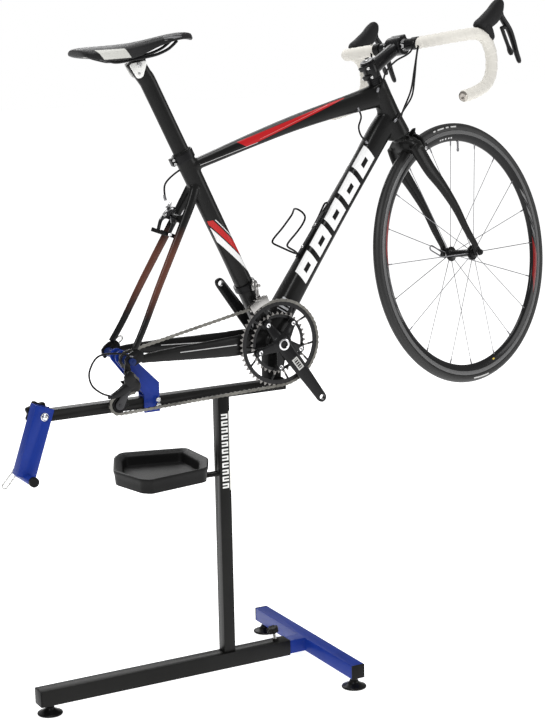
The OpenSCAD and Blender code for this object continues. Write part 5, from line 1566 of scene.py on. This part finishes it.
dress(join("mech_cage_finish", cage), cage_grey, "mech_cage", ["mech_cage"])
for name_, at_ in (("upper_pulley", UPPER), ("lower_pulley", LOWER)):
    wheel_ = ring_plate("teeth", toothed(11, PULLEY_R, 3.0, 3.6), 16.5, CHAIN_Y, 2.3, BIKE @ shift(at_))
    hub_ = turned("hub", [(CHAIN_Y - 3.5, 3.1), (CHAIN_Y - 3.5, 6.6), (CHAIN_Y - 2.6, 7),
        (CHAIN_Y - 2.4, 12), (CHAIN_Y - 3.2, 13), (CHAIN_Y - 3.4, 16.4), (CHAIN_Y - 2, 17.2),
        (CHAIN_Y + 2, 17.2), (CHAIN_Y + 3.4, 16.4), (CHAIN_Y + 3.2, 13), (CHAIN_Y + 2.4, 12),
        (CHAIN_Y + 2.6, 7), (CHAIN_Y + 3.5, 6.6), (CHAIN_Y + 3.5, 3.1)], BIKE @ shift(at_), 36)
    dress(join(name_ + "_finish", [wheel_, hub_]), black_alloy, name_, [name_])

# ---- brakes ----

brake_black = finish("brake arm", (0.0110, 0.0110, 0.0116), 0.28, 0.3, coat=0.12, grain=600, bump=0.06)
pad_rubber = finish("brake pad", (0.0121, 0.0116, 0.0116), 0.6, grain=900, bump=0.3)
ALONG = Vector((1, 0, 0))


def brake_arm(label, side, place, step, shoe, back):
    """One arm of a side-pull brake with its shoe, spring and bolts; back is -1 on the rear brake."""
    at = place @ shift((step, 0, 0))
    arm = join("caliper_" + label,
        [limb("arm", [(0, -side * 24, 20, 4, 3), (0, -side * 21, 17, 5.4, 3.4),
        (0, -side * 10, 9, 6.6, 3.5), (0, 0, 0, 8, 3.5), (0, side * 14, -4, 7.4, 3.5),
        (0, side * 24, -12, 6.6, 3.5), (0, side * 26.5, -22, 6, 3.4), (0, side * 22.5, -shoe + 2, 5.6,
        3.3), (0, side * 21, -shoe - 4, 4.6, 3)], at, 6, 22, 2.6, ALONG),
        turned("boss", twice([(-3.8, 3.1), (-3.8, 8.2), (-3.2, 8.8)]), at, 32, "X")])
    dress(arm, brake_black, label, [label])
    shoe_at = at @ shift((0, side * 16, -shoe - 0.5))
    holder = join("caliper_shoe_holder_" + label,
        [block("holder", (36, 3.4, 9.6), (0, side * 2.1, 0), shoe_at, 1.2),
        block("stop", (4, 7, 10), (18 * back, 0, 0), shoe_at, 1.0)])
    dress(holder, black_alloy, label)
    pad = block("caliper_pad_" + label, (34, 4, 8.4), (-2 * back, -side * 1.7, 0), shoe_at, 1.0)
    dress(pad, pad_rubber, label)
    bolts_ = join("caliper_bolts_" + label,
        [turned("shoe bolt", faced(side, [(4, 0), (4, 3.2), (10.6, 3.2), (11.4, 4.6), (13.4, 4.6),
        (14, 3.8), (14, 2.2), (12.6, 2), (12.6, 0)]), shoe_at, 24),
        wire("spring", [(back * 5, -side * 5, 3), (back * 5.4, side * 6, 2),
        (back * 5.2, side * 15, -3), (back * 4.8, side * 22, -14)], 0.9, at, 5, 8),
        turned("cable screw", [(back * 3.4, 0), (back * 3.4, 3.6), (back * 6.6, 3.6), (back * 7.4, 2.6),
        (back * 7.4, 0)], at @ shift((0, -side * 22, 18)), 20, "X")])
    dress(bolts_, chrome, label)


brake_arm("front_caliper_right", -1, FRONT_BRAKE, 4, 38, 1)
brake_arm("front_caliper_left", 1, FRONT_BRAKE, -4, 38, 1)
brake_arm("rear_caliper_right", -1, REAR_BRAKE, -18, 42, -1)
brake_arm("rear_caliper_left", 1, REAR_BRAKE, -26, 42, -1)
for label, place, x_ in (("front_caliper_right", FRONT_BRAKE, 4), ("rear_caliper_right", REAR_BRAKE,
        -18)):
    lug = place @ shift((x_, 22, 18))
    dress(join("adjuster_" + label,
        [turned("barrel", [(0, 0), (0, 3), (1, 4.4), (7, 4.4), (8, 3.4), (12, 2.9), (12, 0)],
        lug @ shift((0, 0, 2)), 14, "Z"),
        limb("release", [(0, 0, -3, 3, 2), (0, 6, -6, 2.6, 1.8), (0, 14, -12, 2.4, 1.6),
        (0, 19, -18, 2, 1.4)], lug, 5, 12, 2.4, ALONG)]), chrome, label)

# ---- bottle cage ----

side_wire = [(112, 6, 190), (104, 14, 195), (88, 30, 208), (70, 37, 222), (68, 37.6, 229),
    (76, 38, 237), (98, 38, 252), (118, 37.4, 268), (130, 33, 281), (131, 24, 291), (128, 12, 298),
    (127, 0, 300)]
loop_ = side_wire + [(x_, -y_, z_) for x_, y_, z_ in side_wire[-2::-1]]
small = [(168, 10, 240), (190, 12, 262), (208, 13, 284), (214, 10, 292), (217, 0, 294)]
small = small + [(x_, -y_, z_) for x_, y_, z_ in small[-2::-1]]
on_tube = BIKE @ shift((113, 0, 187)) @ turn("Y", 45) @ turn("Y", -90)
spine = limb("spine", [(-6, 0, 0, 1.6, 7.6), (0, 0, 0, 1.8, 8), (60, 0, 0, 1.8, 8), (118, 0, 0, 1.8, 8),
    (124, 0, 0, 1.4, 6)], on_tube, 3, 20, 4.0)
cage_parts = [wire("cage loop", loop_, 2.5, BIKE, 6, 12), wire("small loop", small, 2.5, BIKE, 6, 12),
    spine]
cage_coat = finish("cage coating", (0.0088, 0.0088, 0.0094), 0.38, grain=900, bump=0.15)
dress(join("bottle_cage_finish", cage_parts), cage_coat, "stand", ["bottle_cage"])
cage_bolts = [turned("cage bolt", [(0, 0), (0, 4.4), (2.6, 4.2), (3.4, 3.2), (3.4, 2), (1.8, 1.8),
    (1.8, 0)], on_tube @ shift((d_, 0, 1.4)), 24, "Z") for d_ in (22, 86)]
dress(join("bottle_cage_bolts", cage_bolts), steel, "stand")

# ---- floor ----

bpy.ops.mesh.primitive_plane_add(size=40, location=(0, 0, -0.0005))
floor = bpy.context.active_object
floor.name = "floor"
paper = finish("studio floor", (0.90, 0.90, 0.90), 0.7, grain=60, bump=0.02, mottle=0.01)
shine = paper.node_tree.nodes["Principled BSDF"]
shine.inputs["Emission Color"].default_value = (1, 1, 1, 1)
shine.inputs["Emission Strength"].default_value = 0.78
floor.data.materials.append(paper)

# the bearings show only their own CAD mesh, in polished steel
bearing_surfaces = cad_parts["bearings"].data.materials
bearing_surfaces.clear()
bearing_surfaces.append(steel)
